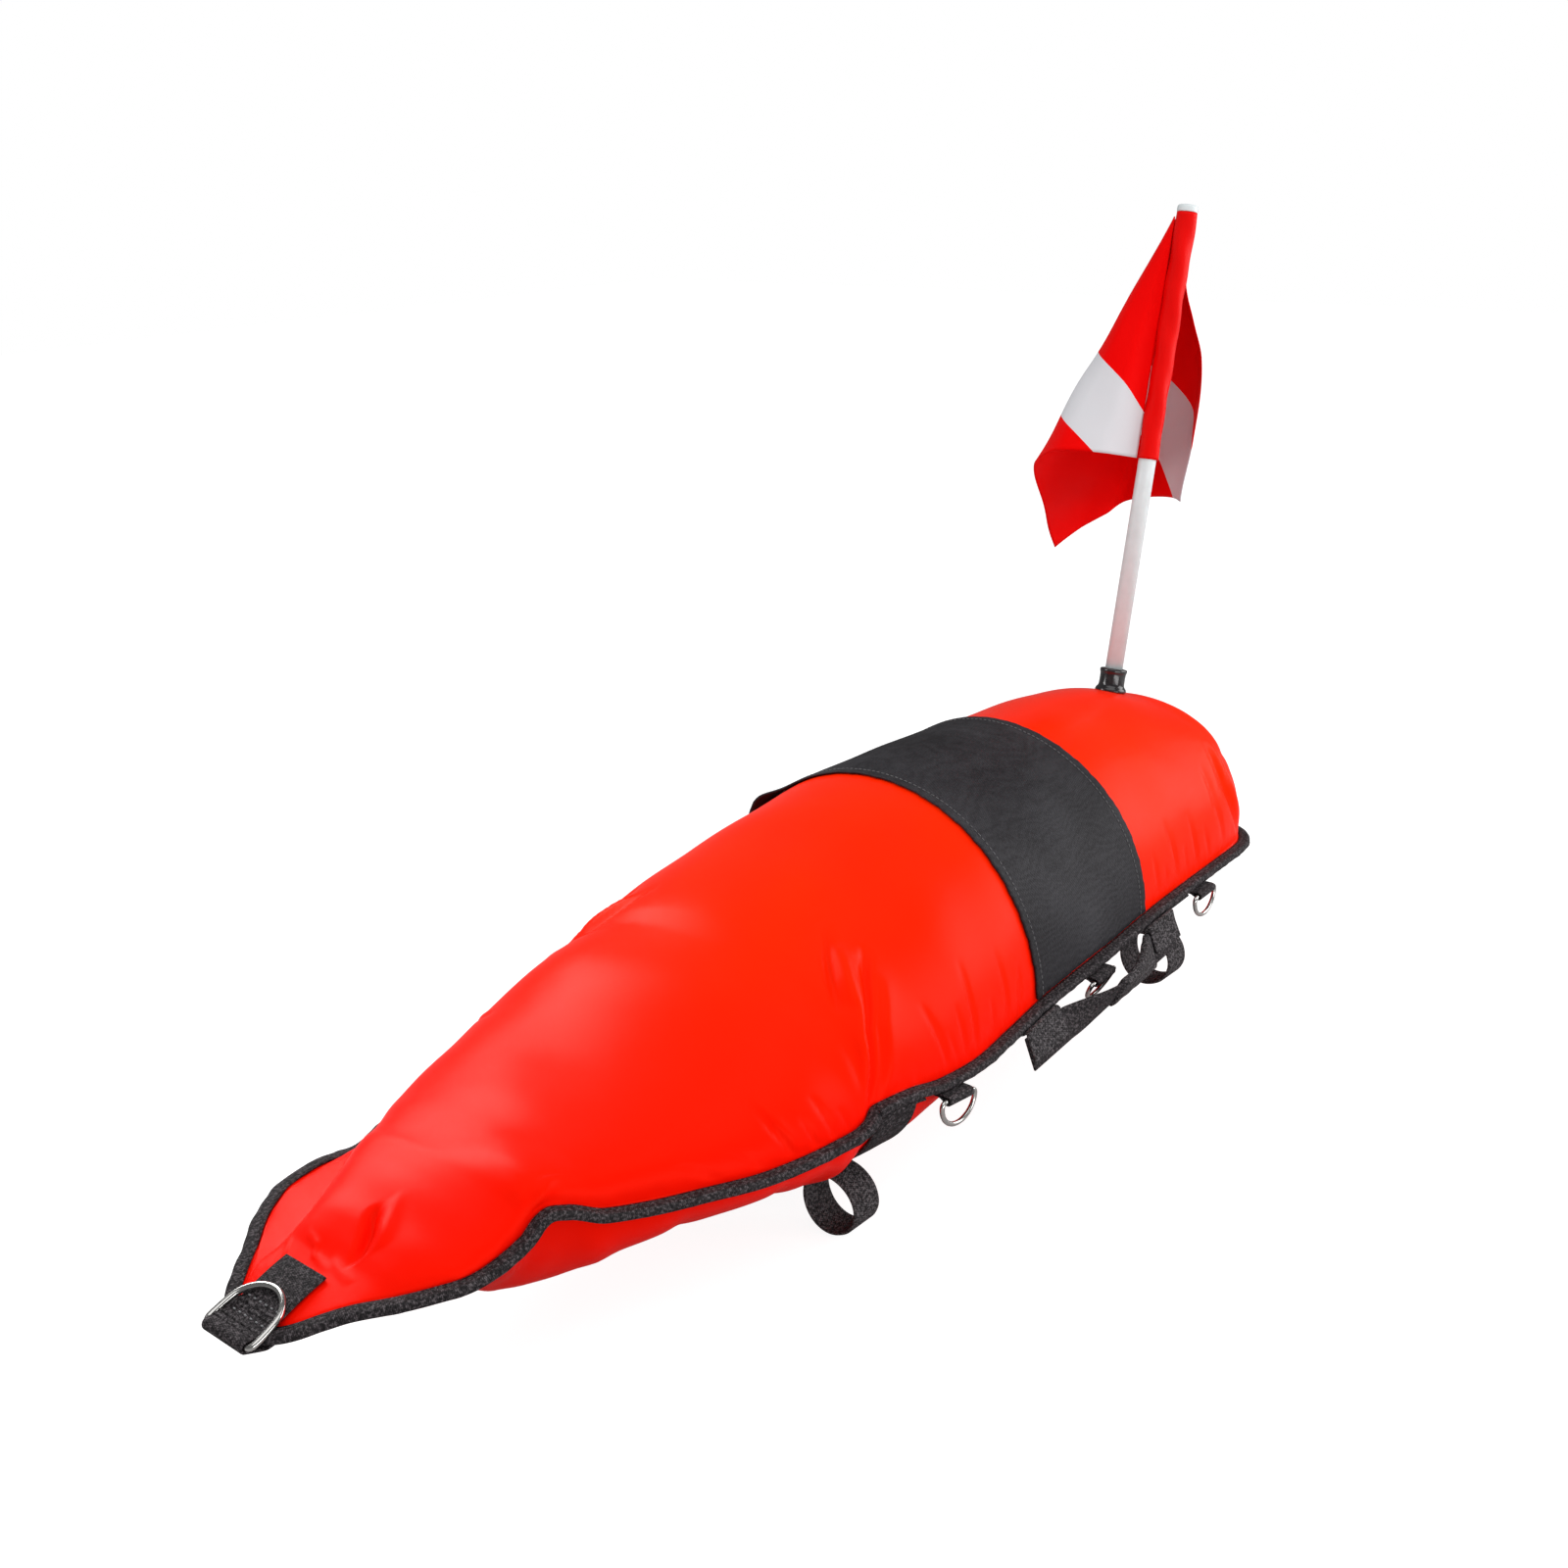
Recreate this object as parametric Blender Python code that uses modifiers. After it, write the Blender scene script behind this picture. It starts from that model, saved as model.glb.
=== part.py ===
"""Dive flag float: an inflatable torpedo float in a sewn cover, with a flag on a pole.

Metres, +Z up. The nose points to -X, the carry handle hangs on the -Y side. The float stands on
its four gear loops, and the origin is the middle of its bounding box, on the floor.
"""

import math

import bmesh
import bpy
import numpy as np
from mathutils import Matrix, Vector

# Body of the float, measured from the front of the nose webbing, before it is set on the floor.
# The seam runs from the nose tip to the tail tip, and the crown and keel lines are measured from
# the level of the seam amidships
OVERALL_LENGTH = 1.0
SEAM_HALF_WIDTH = 0.1555
CROWN_HEIGHT = 0.142
KEEL_DEPTH = 0.076
SEAM_WAVE = 0.020

# Sewn cover
COVER_THICKNESS = 0.0012
FLANGE_WIDTH = 0.0090
SEWN_GAP = 0.0010
BINDING_THICKNESS = 0.0012
BINDING_LIP_REST = 0.0012
BLADDER_THICKNESS = 0.0008
BLADDER_GAP = 0.0005
BLADDER_FRONT = 0.125 * OVERALL_LENGTH

# Where the pieces sit along the body, at their middles
FRONT_STRAP_X = 0.411 * OVERALL_LENGTH
REAR_STRAP_X = 0.805 * OVERALL_LENGTH
BELLY_STRAP_WIDTH = 0.038
BELLY_STRAP_THICKNESS = 0.0018
SADDLE_FRONT_X = 0.588 * OVERALL_LENGTH
SADDLE_REAR_X = 0.758 * OVERALL_LENGTH
SADDLE_THICKNESS = 0.0018
WEBBING_LIFT = 0.0005

# Gear loops under the belly straps
LOOP_OUTER_RADIUS = 0.0240
LOOP_WIDTH = 0.0270
FRONT_LOOP_X = 0.4055 * OVERALL_LENGTH
FRONT_LOOP_ANGLE = 51.0
REAR_LOOP_ANGLE = 36.0
LOOP_THICKNESS = 0.0026

# Side rings: webbing tab and D-ring
SIDE_TAB_XS = tuple(share * OVERALL_LENGTH for share in (0.460, 0.667, 0.845))
SIDE_TAB_WIDTH = 0.034
SIDE_RING_WIRE = 0.0036
SIDE_RING_WIDTH = 0.0410
SIDE_RING_DEPTH = 0.0235
NEAR_RING_LEANS_DEG = (0.0, -25.0, 0.0)
TAB_THICKNESS = 0.0030
RING_CLEARANCE = 0.0004
TAB_SEWN_LENGTH = 0.0085
TAB_REACH = 0.0065

# Nose webbing and its D-ring
NOSE_STRAP_WIDTH = 0.038
NOSE_STRAP_THICKNESS = 0.0017
NOSE_STRAP_BACK = 0.052 * OVERALL_LENGTH
NOSE_STRAP_UNDER = 0.042 * OVERALL_LENGTH
NOSE_RING_AHEAD = 0.0160
NOSE_RING_DROP = 0.0013
NOSE_RING_WIRE = 0.0042
NOSE_RING_WIDTH = 0.0480
NOSE_RING_DEPTH = 0.0400
NOSE_RING_REST_DEG = 20.0

# Pole socket, pole and flag
POLE_X = 0.932 * OVERALL_LENGTH
POLE_LEAN_DEG = 14.5
POLE_DIAMETER = 0.0153
POLE_WALL = 0.0016
POLE_LENGTH = 0.417
SOCKET_CLEARANCE = 0.0003
SOCKET_HEIGHT = 0.0200
SOCKET_FLOOR = 0.0022
SOCKET_RIM_RADIUS = 0.0120
SOCKET_WAIST_RADIUS = 0.0112
SOCKET_BASE_RADIUS = 0.0138
TIP_CAP_HEIGHT = 0.0050
TIP_CAP_WALL = 0.0010
SLEEVE_CLEARANCE = 0.0004
SLEEVE_WALL = 0.0012
FLAG_HOIST = 0.210
FLAG_FLY = 0.245
FLAG_THICKNESS = 0.0009
FLAG_STRIPE_WIDTH = 0.060

# Carry handle on the near side
HANDLE_TAB_XS = tuple(share * OVERALL_LENGTH for share in (0.574, 0.762))
HANDLE_TAB_WIDTHS = (0.047, 0.040)
HANDLE_TAB_DROP = 0.0215
HANDLE_TAB_STAND_OFF = 0.0022
HANDLE_FREE_SHARES = (0.17, 0.88)
HANDLE_WIDTH = 0.0255
HANDLE_THICKNESS = 0.0024
HANDLE_SAG = 0.003
HANDLE_BULGE = 0.010
HANDLE_TILT_DEG = 48.0
HANDLE_REST_DEG = 18.0
GRIP_FROM = 0.664 * OVERALL_LENGTH
GRIP_TO = 0.738 * OVERALL_LENGTH
GRIP_WALL = 0.0022

# Inflation valve and zip on the belly
VALVE_X = 0.560 * OVERALL_LENGTH
VALVE_BARREL_RADIUS = 0.0100
VALVE_FLANGE_RADIUS = 0.0170
VALVE_FLANGE_THICKNESS = 0.0020
VALVE_DEPTH = 0.0120
VALVE_WALL = 0.0022
VALVE_CAP_THICKNESS = 0.0040
ZIP_FROM = 0.503 * OVERALL_LENGTH
ZIP_TO = 0.768 * OVERALL_LENGTH
ZIP_TAPE_WIDTH = 0.024
ZIP_TAPE_THICKNESS = 0.0010
ZIP_COIL_RADIUS = 0.0026
ZIP_STOP_LENGTH = 0.0040
SLIDER_LENGTH = 0.0130
SLIDER_WIDTH = 0.0100
SLIDER_HEIGHT = 0.0052
SLIDER_WALL = 0.0011
PULL_LENGTH = 0.0240
PULL_WIDTH = 0.0070
PULL_THICKNESS = 0.0014
PULL_PIN_RADIUS = 0.0007

# Clearance between pieces that touch, and the overrun of a cut
FIT_GAP = 0.0003
CUT_OVERRUN = 0.0020

# How round the crown is from seam to seam, as a power of the sine: under 1 is boxier
CROWN_POWERS = (
    (0.013, 1.0), (0.110, 0.85), (0.150, 0.70), (0.220, 0.70), (0.300, 0.88), (0.400, 1.0), (0.880, 1.0),
    (0.950, 0.72), (0.975, 0.62), (0.990, 0.60),
)
# Profiles of the body as (share of the length, share of the named size). The near ones are what
# the near seam adds to the far one where the cover has slipped and wrinkled
PLAN_SHARES = (
    (0.013, 0.0), (0.0138, 0.05), (0.016, 0.09), (0.022, 0.145), (0.035, 0.215), (0.050, 0.29),
    (0.070, 0.405), (0.085, 0.47), (0.100, 0.518), (0.120, 0.54), (0.148, 0.55), (0.197, 0.655),
    (0.247, 0.79), (0.296, 0.90),
    (0.345, 0.965), (0.375, 0.975), (0.386, 0.955), (0.395, 0.97), (0.435, 0.992), (0.493, 1.0),
    (0.542, 0.968), (0.592, 0.936), (0.641, 0.92), (0.740, 0.89), (0.838, 0.852), (0.900, 0.83),
    (0.940, 0.80), (0.965, 0.73), (0.978, 0.62), (0.985, 0.47), (0.989, 0.22), (0.990, 0.0),
)
CROWN_SHARES = (
    (0.013, -0.090), (0.050, -0.005), (0.085, 0.03), (0.099, 0.05), (0.125, 0.135),
    (0.148, 0.19), (0.197, 0.222), (0.247, 0.282), (0.296, 0.375), (0.345, 0.52),
    (0.385, 0.61), (0.400, 0.675), (0.444, 0.79), (0.493, 0.874), (0.542, 0.95), (0.592, 1.0),
    (0.650, 1.008), (0.740, 0.995), (0.838, 0.972), (0.888, 0.944), (0.930, 0.88), (0.955, 0.82),
    (0.973, 0.735), (0.983, 0.62), (0.9885, 0.40), (0.990, 0.018),
)
KEEL_SHARES = (
    (0.013, 0.205), (0.050, 0.105), (0.085, 0.10), (0.110, 0.13), (0.130, 0.30), (0.147, 0.70),
    (0.160, 0.90), (0.175, 0.92), (0.220, 0.84), (0.260, 0.78), (0.300, 0.78), (0.345, 0.93),
    (0.375, 1.07), (0.435, 1.07), (0.457, 0.85), (0.478, 0.70), (0.497, 0.64), (0.775, 0.64),
    (0.790, 0.59), (0.830, 0.57), (0.855, 0.56),
    (0.900, 0.54), (0.945, 0.46), (0.970, 0.36), (0.982, 0.24), (0.988, 0.11), (0.990, 0.0),
)
SEAM_SHARES = (
    (0.013, -0.72), (0.050, -0.22), (0.099, 0.0), (0.125, 0.0), (0.152, -0.24), (0.170, -0.35),
    (0.220, -0.36), (0.247, -0.34),
    (0.296, -0.27), (0.345, -0.18), (0.395, -0.08), (0.444, -0.20), (0.493, -0.33),
    (0.542, -0.28), (0.592, -0.15), (0.690, 0.05), (0.789, 0.30), (0.888, 0.30), (0.937, 0.20),
    (0.990, 0.05),
)
NEAR_WAVE_SHARES = (
    (0.013, 0.0), (0.099, 0.04), (0.125, 0.24), (0.140, 0.57), (0.152, 1.11), (0.160, 1.29),
    (0.170, 1.20), (0.192, 0.71), (0.220, 0.49), (0.247, 0.38), (0.296, 0.12), (0.345, 0.03),
    (0.366, -0.05), (0.396, 0.30), (0.420, 0.27),
    (0.455, 0.03), (0.490, 0.0), (0.990, 0.0),
)
STATION_SHARES = (
    0.013, 0.0138, 0.016, 0.022, 0.035, 0.055, 0.085, 0.105, 0.125, 0.140, 0.150, 0.160, 0.170,
    0.190, 0.220, 0.255, 0.300, 0.345, 0.372, 0.384, 0.455, 0.478, 0.497, 0.545, 0.630, 0.675,
    0.718, 0.775, 0.855, 0.890, 0.925, 0.945, 0.962, 0.975, 0.984, 0.9885, 0.990,
)
# The cone of the hanging flag: sideways and backward slopes of its rulings, from the hoist round
# to the top edge
FLAG_CONE_SHARES = (
    (0.0, 0.0), (-0.176, -0.07), (-0.335, -0.017), (-0.39, 0.105), (-0.24, 0.29),
    (-0.015, 0.425), (0.15, 0.365), (0.26, 0.213), (0.23, 0.052),
)
# How far out those slopes have spread, by share of the fly length
FLAG_SPREAD_SHARES = (
    (0.0, 0.05), (0.2, 0.2), (0.36, 0.75), (0.49, 1.0), (0.78, 0.75), (1.0, 0.56), (1.5, 0.5),
)
FLAG_FACING_DEG = 49.0

FLAG_ROWS = (4, 3, 2)
FLAG_RULINGS = 20
FLAG_ROOT_SHARE = 0.02
FLAG_WRAP_DEG = 140.0

ANGLE_STEPS = 15
LOOP_SEGMENTS = 26
TURN_STEPS = 20
SMOOTH_ANGLE_DEG = 35.0
WELD = 1e-6

# Distances that follow from the sizes above
LAYER_BASE = SEWN_GAP / 2 + COVER_THICKNESS
BINDING_INNER = LAYER_BASE + FIT_GAP
BINDING_HALF = BINDING_INNER + BINDING_THICKNESS
BINDING_REACH = FLANGE_WIDTH + FIT_GAP + BINDING_THICKNESS
TAB_TOP = BINDING_HALF + 2 * FIT_GAP
POLE_RADIUS = POLE_DIAMETER / 2
SLEEVE_RADIUS = POLE_RADIUS + SLEEVE_CLEARANCE + SLEEVE_WALL

for leftover in list(bpy.data.objects):
    bpy.data.objects.remove(leftover, do_unlink=True)

parts = bpy.data.collections.new("dive_flag_float")
cutters = bpy.data.collections.new("cutters")
bpy.context.scene.collection.children.link(parts)
bpy.context.scene.collection.children.link(cutters)


def material(name, colour, roughness, metallic=0.0):
    made = bpy.data.materials.new(name)
    made.use_nodes = True
    shader = made.node_tree.nodes["Principled BSDF"]
    shader.inputs["Base Color"].default_value = (*colour, 1.0)
    shader.inputs["Roughness"].default_value = roughness
    shader.inputs["Metallic"].default_value = metallic
    made.diffuse_color = (*colour, 1.0)
    return made


ORANGE_COVER = material("orange_coated_nylon", (0.95, 0.05, 0.01), 0.32)
BLACK_WEBBING = material("black_webbing", (0.025, 0.023, 0.026), 0.85)
SADDLE_CLOTH = material("charcoal_cloth", (0.035, 0.035, 0.038), 0.7)
STEEL = material("stainless_steel", (0.62, 0.61, 0.59), 0.22, 1.0)
BLACK_PVC = material("black_pvc", (0.01, 0.01, 0.011), 0.2)
WHITE_TUBE = material("white_tube", (0.85, 0.85, 0.85), 0.4)
RED_CLOTH = material("red_flag_cloth", (0.75, 0.01, 0.02), 0.6)
WHITE_CLOTH = material("white_flag_cloth", (0.8, 0.8, 0.8), 0.6)
BLADDER_FILM = material("bladder_film", (0.85, 0.35, 0.1), 0.4)


def smooth_curve(points):
    """A function through the points that never overshoots them: cubic, with limited slopes."""
    xs, ys = (np.array(values, float) for values in zip(*points))
    steps = np.diff(xs)
    slopes = np.diff(ys) / steps
    tangents = np.zeros(len(xs))
    tangents[0], tangents[-1] = slopes[0], slopes[-1]
    for i in range(1, len(xs) - 1):
        if slopes[i - 1] * slopes[i] > 0:
            before, after = 2 * steps[i] + steps[i - 1], steps[i] + 2 * steps[i - 1]
            tangents[i] = (before + after) / (before / slopes[i - 1] + after / slopes[i])

    def value(x):
        i = min(max(int(np.searchsorted(xs, x)) - 1, 0), len(steps) - 1)
        t = (x - xs[i]) / steps[i]
        rise = ys[i] * (1 + 2 * t) * (1 - t) ** 2 + ys[i + 1] * t * t * (3 - 2 * t)
        bend = tangents[i] * t * (1 - t) ** 2 + tangents[i + 1] * t * t * (t - 1)
        return float(rise + steps[i] * bend)

    return value


plan_curve = smooth_curve(PLAN_SHARES)
crown_curve = smooth_curve(CROWN_SHARES)
keel_curve = smooth_curve(KEEL_SHARES)
seam_curve = smooth_curve(SEAM_SHARES)
wave_curve = smooth_curve(NEAR_WAVE_SHARES)
crown_power = smooth_curve(CROWN_POWERS)
NOSE_TIP = PLAN_SHARES[0][0] * OVERALL_LENGTH
TAIL_TIP = PLAN_SHARES[-1][0] * OVERALL_LENGTH


def half_width(x):
    return SEAM_HALF_WIDTH * plan_curve(x / OVERALL_LENGTH)


def seam_height(x, side=-1):
    """Height of the near seam, side -1, or of the far one, side 1."""
    share = x / OVERALL_LENGTH
    wave = wave_curve(share) if side < 0 else 0.0
    return SEAM_WAVE * (seam_curve(share) + wave)


def seam_steepness(x):
    """How much longer a vertical gap has to be where the near seam line climbs."""
    step = OVERALL_LENGTH / 320
    places = [min(max(x + way * step, NOSE_TIP), TAIL_TIP) for way in range(-3, 4)]
    heights = [seam_height(place) for place in places]
    return math.hypot(1.0, max(abs(b - a) for a, b in zip(heights, heights[1:])) / step)


def surface_point(x, angle, under=False):
    """Outer face of the cover: 0 is the near seam, 180 degrees the far one, over or under it."""
    turn = math.radians(angle)
    near_share = (1 + math.cos(turn)) / 2
    seam = seam_height(x) * near_share + seam_height(x, 1) * (1 - near_share)
    base = LAYER_BASE * seam_steepness(x)
    middle = (seam_height(x) + seam_height(x, 1)) / 2
    if under:
        depth = max(KEEL_DEPTH * keel_curve(x / OVERALL_LENGTH) + middle, 0.0)
        height = seam - base - depth * math.sin(turn)
    else:
        rise = max(CROWN_HEIGHT * crown_curve(x / OVERALL_LENGTH) - middle, 0.0)
        height = seam + base + rise * max(math.sin(turn), 0.0) ** crown_power(x / OVERALL_LENGTH)
    return np.array((x, -half_width(x) * math.cos(turn), height))


def plan_normal(x):
    """Outward direction of the near seam in plan."""
    if half_width(x) < WELD:
        return np.array((-1.0 if x < OVERALL_LENGTH / 2 else 1.0, 0.0))
    step = OVERALL_LENGTH * 0.0004
    low, high = max(x - step, NOSE_TIP), min(x + step, TAIL_TIP)
    run, rise = high - low, half_width(high) - half_width(low)
    return np.array((-rise, -run)) / math.hypot(run, rise)


def surface_normals(points):
    """Unit normals of a grid of points, rows along the body and columns across."""
    along = np.gradient(points, axis=0)
    across = np.gradient(points, axis=1)
    normals = np.cross(along, across)
    lengths = np.linalg.norm(normals, axis=2, keepdims=True)
    normals = normals / np.maximum(lengths, 1e-12)
    normals[0] = (-1.0, 0.0, 0.0)
    normals[-1] = (1.0, 0.0, 0.0)
    return normals


def all_stations():
    half_strap = BELLY_STRAP_WIDTH / 2
    needed = [
        FRONT_STRAP_X - half_strap, FRONT_STRAP_X + half_strap,
        REAR_STRAP_X - half_strap, REAR_STRAP_X + half_strap,
        SADDLE_FRONT_X, SADDLE_REAR_X,
    ]
    return sorted(needed + [share * OVERALL_LENGTH for share in STATION_SHARES])


STATIONS = all_stations()
ANGLES = [180 * step / ANGLE_STEPS for step in range(ANGLE_STEPS + 1)]
CROWN_GRID = np.array([[surface_point(x, angle) for angle in ANGLES] for x in STATIONS])
BELLY_GRID = np.array([[surface_point(x, angle, True) for angle in ANGLES] for x in STATIONS])
CROWN_NORMALS = surface_normals(CROWN_GRID)
BELLY_NORMALS = -surface_normals(BELLY_GRID)
BELLY_NORMALS[0] = (-1.0, 0.0, 0.0)
BELLY_NORMALS[-1] = (1.0, 0.0, 0.0)


def seam_side(x, outward, height, side=-1):
    """A point beside the seam: outward in plan, and above or below the seam line."""
    normal = plan_normal(x)
    return np.array((
        x + normal[0] * outward,
        side * (half_width(x) - normal[1] * outward),
        seam_height(x, side) + height * seam_steepness(x),
    ))


def add_object(name, mesh, look, parent=None):
    made = bpy.data.objects.new(name, mesh)
    if not mesh.materials:
        mesh.materials.append(look)
    parts.objects.link(made)
    made.parent = parent or ROOT
    return made


def mesh_from(name, vertices, faces, slots=()):
    mesh = bpy.data.meshes.new(name)
    mesh.from_pydata([tuple(map(float, vertex)) for vertex in vertices], [], faces)
    for polygon, slot in zip(mesh.polygons, slots):
        polygon.material_index = slot
    work = bmesh.new()
    work.from_mesh(mesh)
    bmesh.ops.remove_doubles(work, verts=work.verts, dist=WELD)
    bmesh.ops.dissolve_degenerate(work, edges=work.edges, dist=WELD)
    work.to_mesh(mesh)
    work.free()
    mesh.shade_smooth()
    mesh.set_sharp_from_angle(angle=math.radians(SMOOTH_ANGLE_DEG))
    return mesh


def grid_mesh(name, rows, wrap_rows=False, wrap_columns=False, caps=False, slots=()):
    """A skin over rows of points, its faces to the right of the rows seen along the columns."""
    rows = np.asarray(rows, float)
    count, width = rows.shape[:2]
    faces = []
    for i in range(count if wrap_rows else count - 1):
        for j in range(width if wrap_columns else width - 1):
            low, high = i * width, (i + 1) % count * width
            after = (j + 1) % width
            faces.append((low + j, high + j, high + after, low + after))
    if caps:
        faces.append(tuple(range(width)))
        faces.append(tuple(reversed(range((count - 1) * width, count * width))))
    return mesh_from(name, rows.reshape(-1, 3), faces, slots)


def thicken(made, thickness, outward=False):
    shell = made.modifiers.new("wall", "SOLIDIFY")
    shell.thickness = thickness
    shell.offset = 1.0 if outward else -1.0
    shell.use_even_offset = True
    shell.use_quality_normals = True
    return made


def turned(name, profile, look, parent, steps=TURN_STEPS):
    """A closed profile of (radius, height), outer side top to bottom, turned about local Z."""
    mesh = bpy.data.meshes.new(name)
    points = [(radius, 0.0, height) for radius, height in profile]
    closed = profile[0][0] > WELD
    edges = [(i, i + 1) for i in range(len(points) - 1)]
    if closed:
        edges.append((len(points) - 1, 0))
    mesh.from_pydata(points, edges, [])
    made = add_object(name, mesh, look, parent)
    screw = made.modifiers.new("turn", "SCREW")
    screw.steps = screw.render_steps = steps
    screw.use_merge_vertices = True
    screw.merge_threshold = 1e-5
    screw.use_smooth_shade = False
    return made


def outline_solid(name, splines, thickness, look, parent):
    """Flat outlines in local XY, the first one solid and the others holes, extruded along Z."""
    curve = bpy.data.curves.new(name, "CURVE")
    curve.dimensions = "2D"
    curve.fill_mode = "BOTH"
    curve.extrude = thickness / 2
    for points in splines:
        spline = curve.splines.new("POLY")
        spline.points.add(len(points) - 1)
        for target, point in zip(spline.points, points):
            target.co = (point[0], point[1], 0.0, 1.0)
        spline.use_cyclic_u = True
    return add_object(name, curve, look, parent)


def wire(name, points, radius, look, parent, closed=True, roundness=1):
    curve = bpy.data.curves.new(name, "CURVE")
    curve.dimensions = "3D"
    curve.bevel_depth = radius
    curve.bevel_resolution = roundness
    curve.use_fill_caps = not closed
    spline = curve.splines.new("POLY")
    spline.points.add(len(points) - 1)
    for target, point in zip(spline.points, points):
        target.co = (*point, 1.0)
    spline.use_cyclic_u = closed
    return add_object(name, curve, look, parent)


def empty_at(name, matrix, parent=None):
    made = bpy.data.objects.new(name, None)
    bpy.context.scene.collection.objects.link(made)
    made.empty_display_size = SIDE_TAB_WIDTH
    made.parent = parent
    made.matrix_local = matrix
    return made


ROOT = empty_at("float_origin", Matrix.Identity(4))


def top_panel():
    rows = []
    for i, x in enumerate(STATIONS):
        row = [seam_side(x, FLANGE_WIDTH, LAYER_BASE)]
        row += list(CROWN_GRID[i])
        row.append(seam_side(x, FLANGE_WIDTH, LAYER_BASE, 1))
        rows.append(row)
    made = add_object("cover_top_panel", grid_mesh("cover_top_panel", rows), ORANGE_COVER)
    return thicken(made, COVER_THICKNESS)


def bottom_panel():
    rows = []
    for i, x in enumerate(STATIONS):
        row = [seam_side(x, FLANGE_WIDTH, -LAYER_BASE, 1)]
        row += list(BELLY_GRID[i][::-1])
        row.append(seam_side(x, FLANGE_WIDTH, -LAYER_BASE))
        rows.append(row)
    made = add_object("cover_bottom_panel", grid_mesh("cover_bottom_panel", rows), ORANGE_COVER)
    return thicken(made, COVER_THICKNESS)


def edge_binding():
    """Webbing folded over the flange, all the way round the seam."""
    outward = FLANGE_WIDTH + FIT_GAP
    section = (
        (BINDING_LIP_REST, BINDING_INNER), (outward, BINDING_INNER),
        (outward, -BINDING_INNER), (BINDING_LIP_REST, -BINDING_INNER),
    )
    near = [[seam_side(x, out, high) for out, high in section] for x in STATIONS]
    far = [[seam_side(x, out, high, 1) for out, high in section] for x in STATIONS[-2:0:-1]]
    mesh = grid_mesh("edge_binding", (near + far)[::-1], wrap_rows=True)
    return thicken(add_object("edge_binding", mesh, BLACK_WEBBING), BINDING_THICKNESS, True)


def bladder():
    """Air bladder just inside the cover, on every second column of the cover's grid."""
    inset = COVER_THICKNESS + BLADDER_GAP
    crown = [1, 3, 5, 7, 8, 10, 12, 14]
    rows = []
    for i, x in enumerate(STATIONS):
        if x < BLADDER_FRONT:
            continue
        near = seam_side(x, -inset - SEWN_GAP, 0.0)
        far = seam_side(x, -inset - SEWN_GAP, 0.0, 1)
        top = [CROWN_GRID[i][j] - inset * CROWN_NORMALS[i][j] for j in crown]
        under = [BELLY_GRID[i][j] - inset * BELLY_NORMALS[i][j] for j in crown[::-1]]
        rows.append([near, *top, far, *under])
    front = np.mean(rows[0], axis=0) - (inset, 0.0, 0.0)
    rows.insert(0, [front] * len(rows[0]))
    mesh = grid_mesh("bladder", rows, wrap_columns=True)
    made = thicken(add_object("bladder", mesh, BLADDER_FILM), BLADDER_THICKNESS)
    hole = made.modifiers.new("valve hole", "BOOLEAN")
    hole.object = cutter_rod("valve_hole_cutter", VALVE_BARREL_RADIUS + FIT_GAP)
    hole.solver = "EXACT"
    return made


def keel_height(x):
    """Height of the belly's flat middle strip."""
    return surface_point(x, ANGLES[ANGLE_STEPS // 2], True)[2]


def cutter_rod(name, radius):
    mesh = bpy.data.meshes.new(name)
    work = bmesh.new()
    bmesh.ops.create_cone(
        work, cap_ends=True, segments=TURN_STEPS, radius1=radius, radius2=radius,
        depth=2 * VALVE_DEPTH,
    )
    work.to_mesh(mesh)
    work.free()
    made = bpy.data.objects.new(name, mesh)
    cutters.objects.link(made)
    made.parent = ROOT
    made.location = (VALVE_X, 0.0, keel_height(VALVE_X))
    made.hide_render = True
    made.display_type = "WIRE"
    return made


def inflation_valve():
    """Barrel through the bladder wall with its flange inside, and a stopper in the barrel."""
    face = keel_height(VALVE_X) + COVER_THICKNESS + BLADDER_GAP
    place = empty_at("valve_place", Matrix.Translation((VALVE_X, 0.0, face)), ROOT)
    flange = BLADDER_THICKNESS + 2 * FIT_GAP
    bore = VALVE_BARREL_RADIUS - VALVE_WALL
    floor = VALVE_DEPTH - VALVE_WALL
    body = (
        (VALVE_BARREL_RADIUS, VALVE_DEPTH), (VALVE_BARREL_RADIUS, flange + VALVE_FLANGE_THICKNESS),
        (VALVE_FLANGE_RADIUS, flange + VALVE_FLANGE_THICKNESS), (VALVE_FLANGE_RADIUS, flange),
        (VALVE_BARREL_RADIUS, flange), (VALVE_BARREL_RADIUS, 0.0),
        (bore, 0.0), (bore, floor), (0.0, floor),
    )
    turned("inflation_valve", ((0.0, VALVE_DEPTH),) + body, BLACK_PVC, place)
    cap_radius = bore - FIT_GAP
    cap = (
        (0.0, VALVE_CAP_THICKNESS), (cap_radius, VALVE_CAP_THICKNESS),
        (cap_radius, FIT_GAP), (0.0, FIT_GAP),
    )
    turned("valve_stopper", cap, BLACK_PVC, place)


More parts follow.
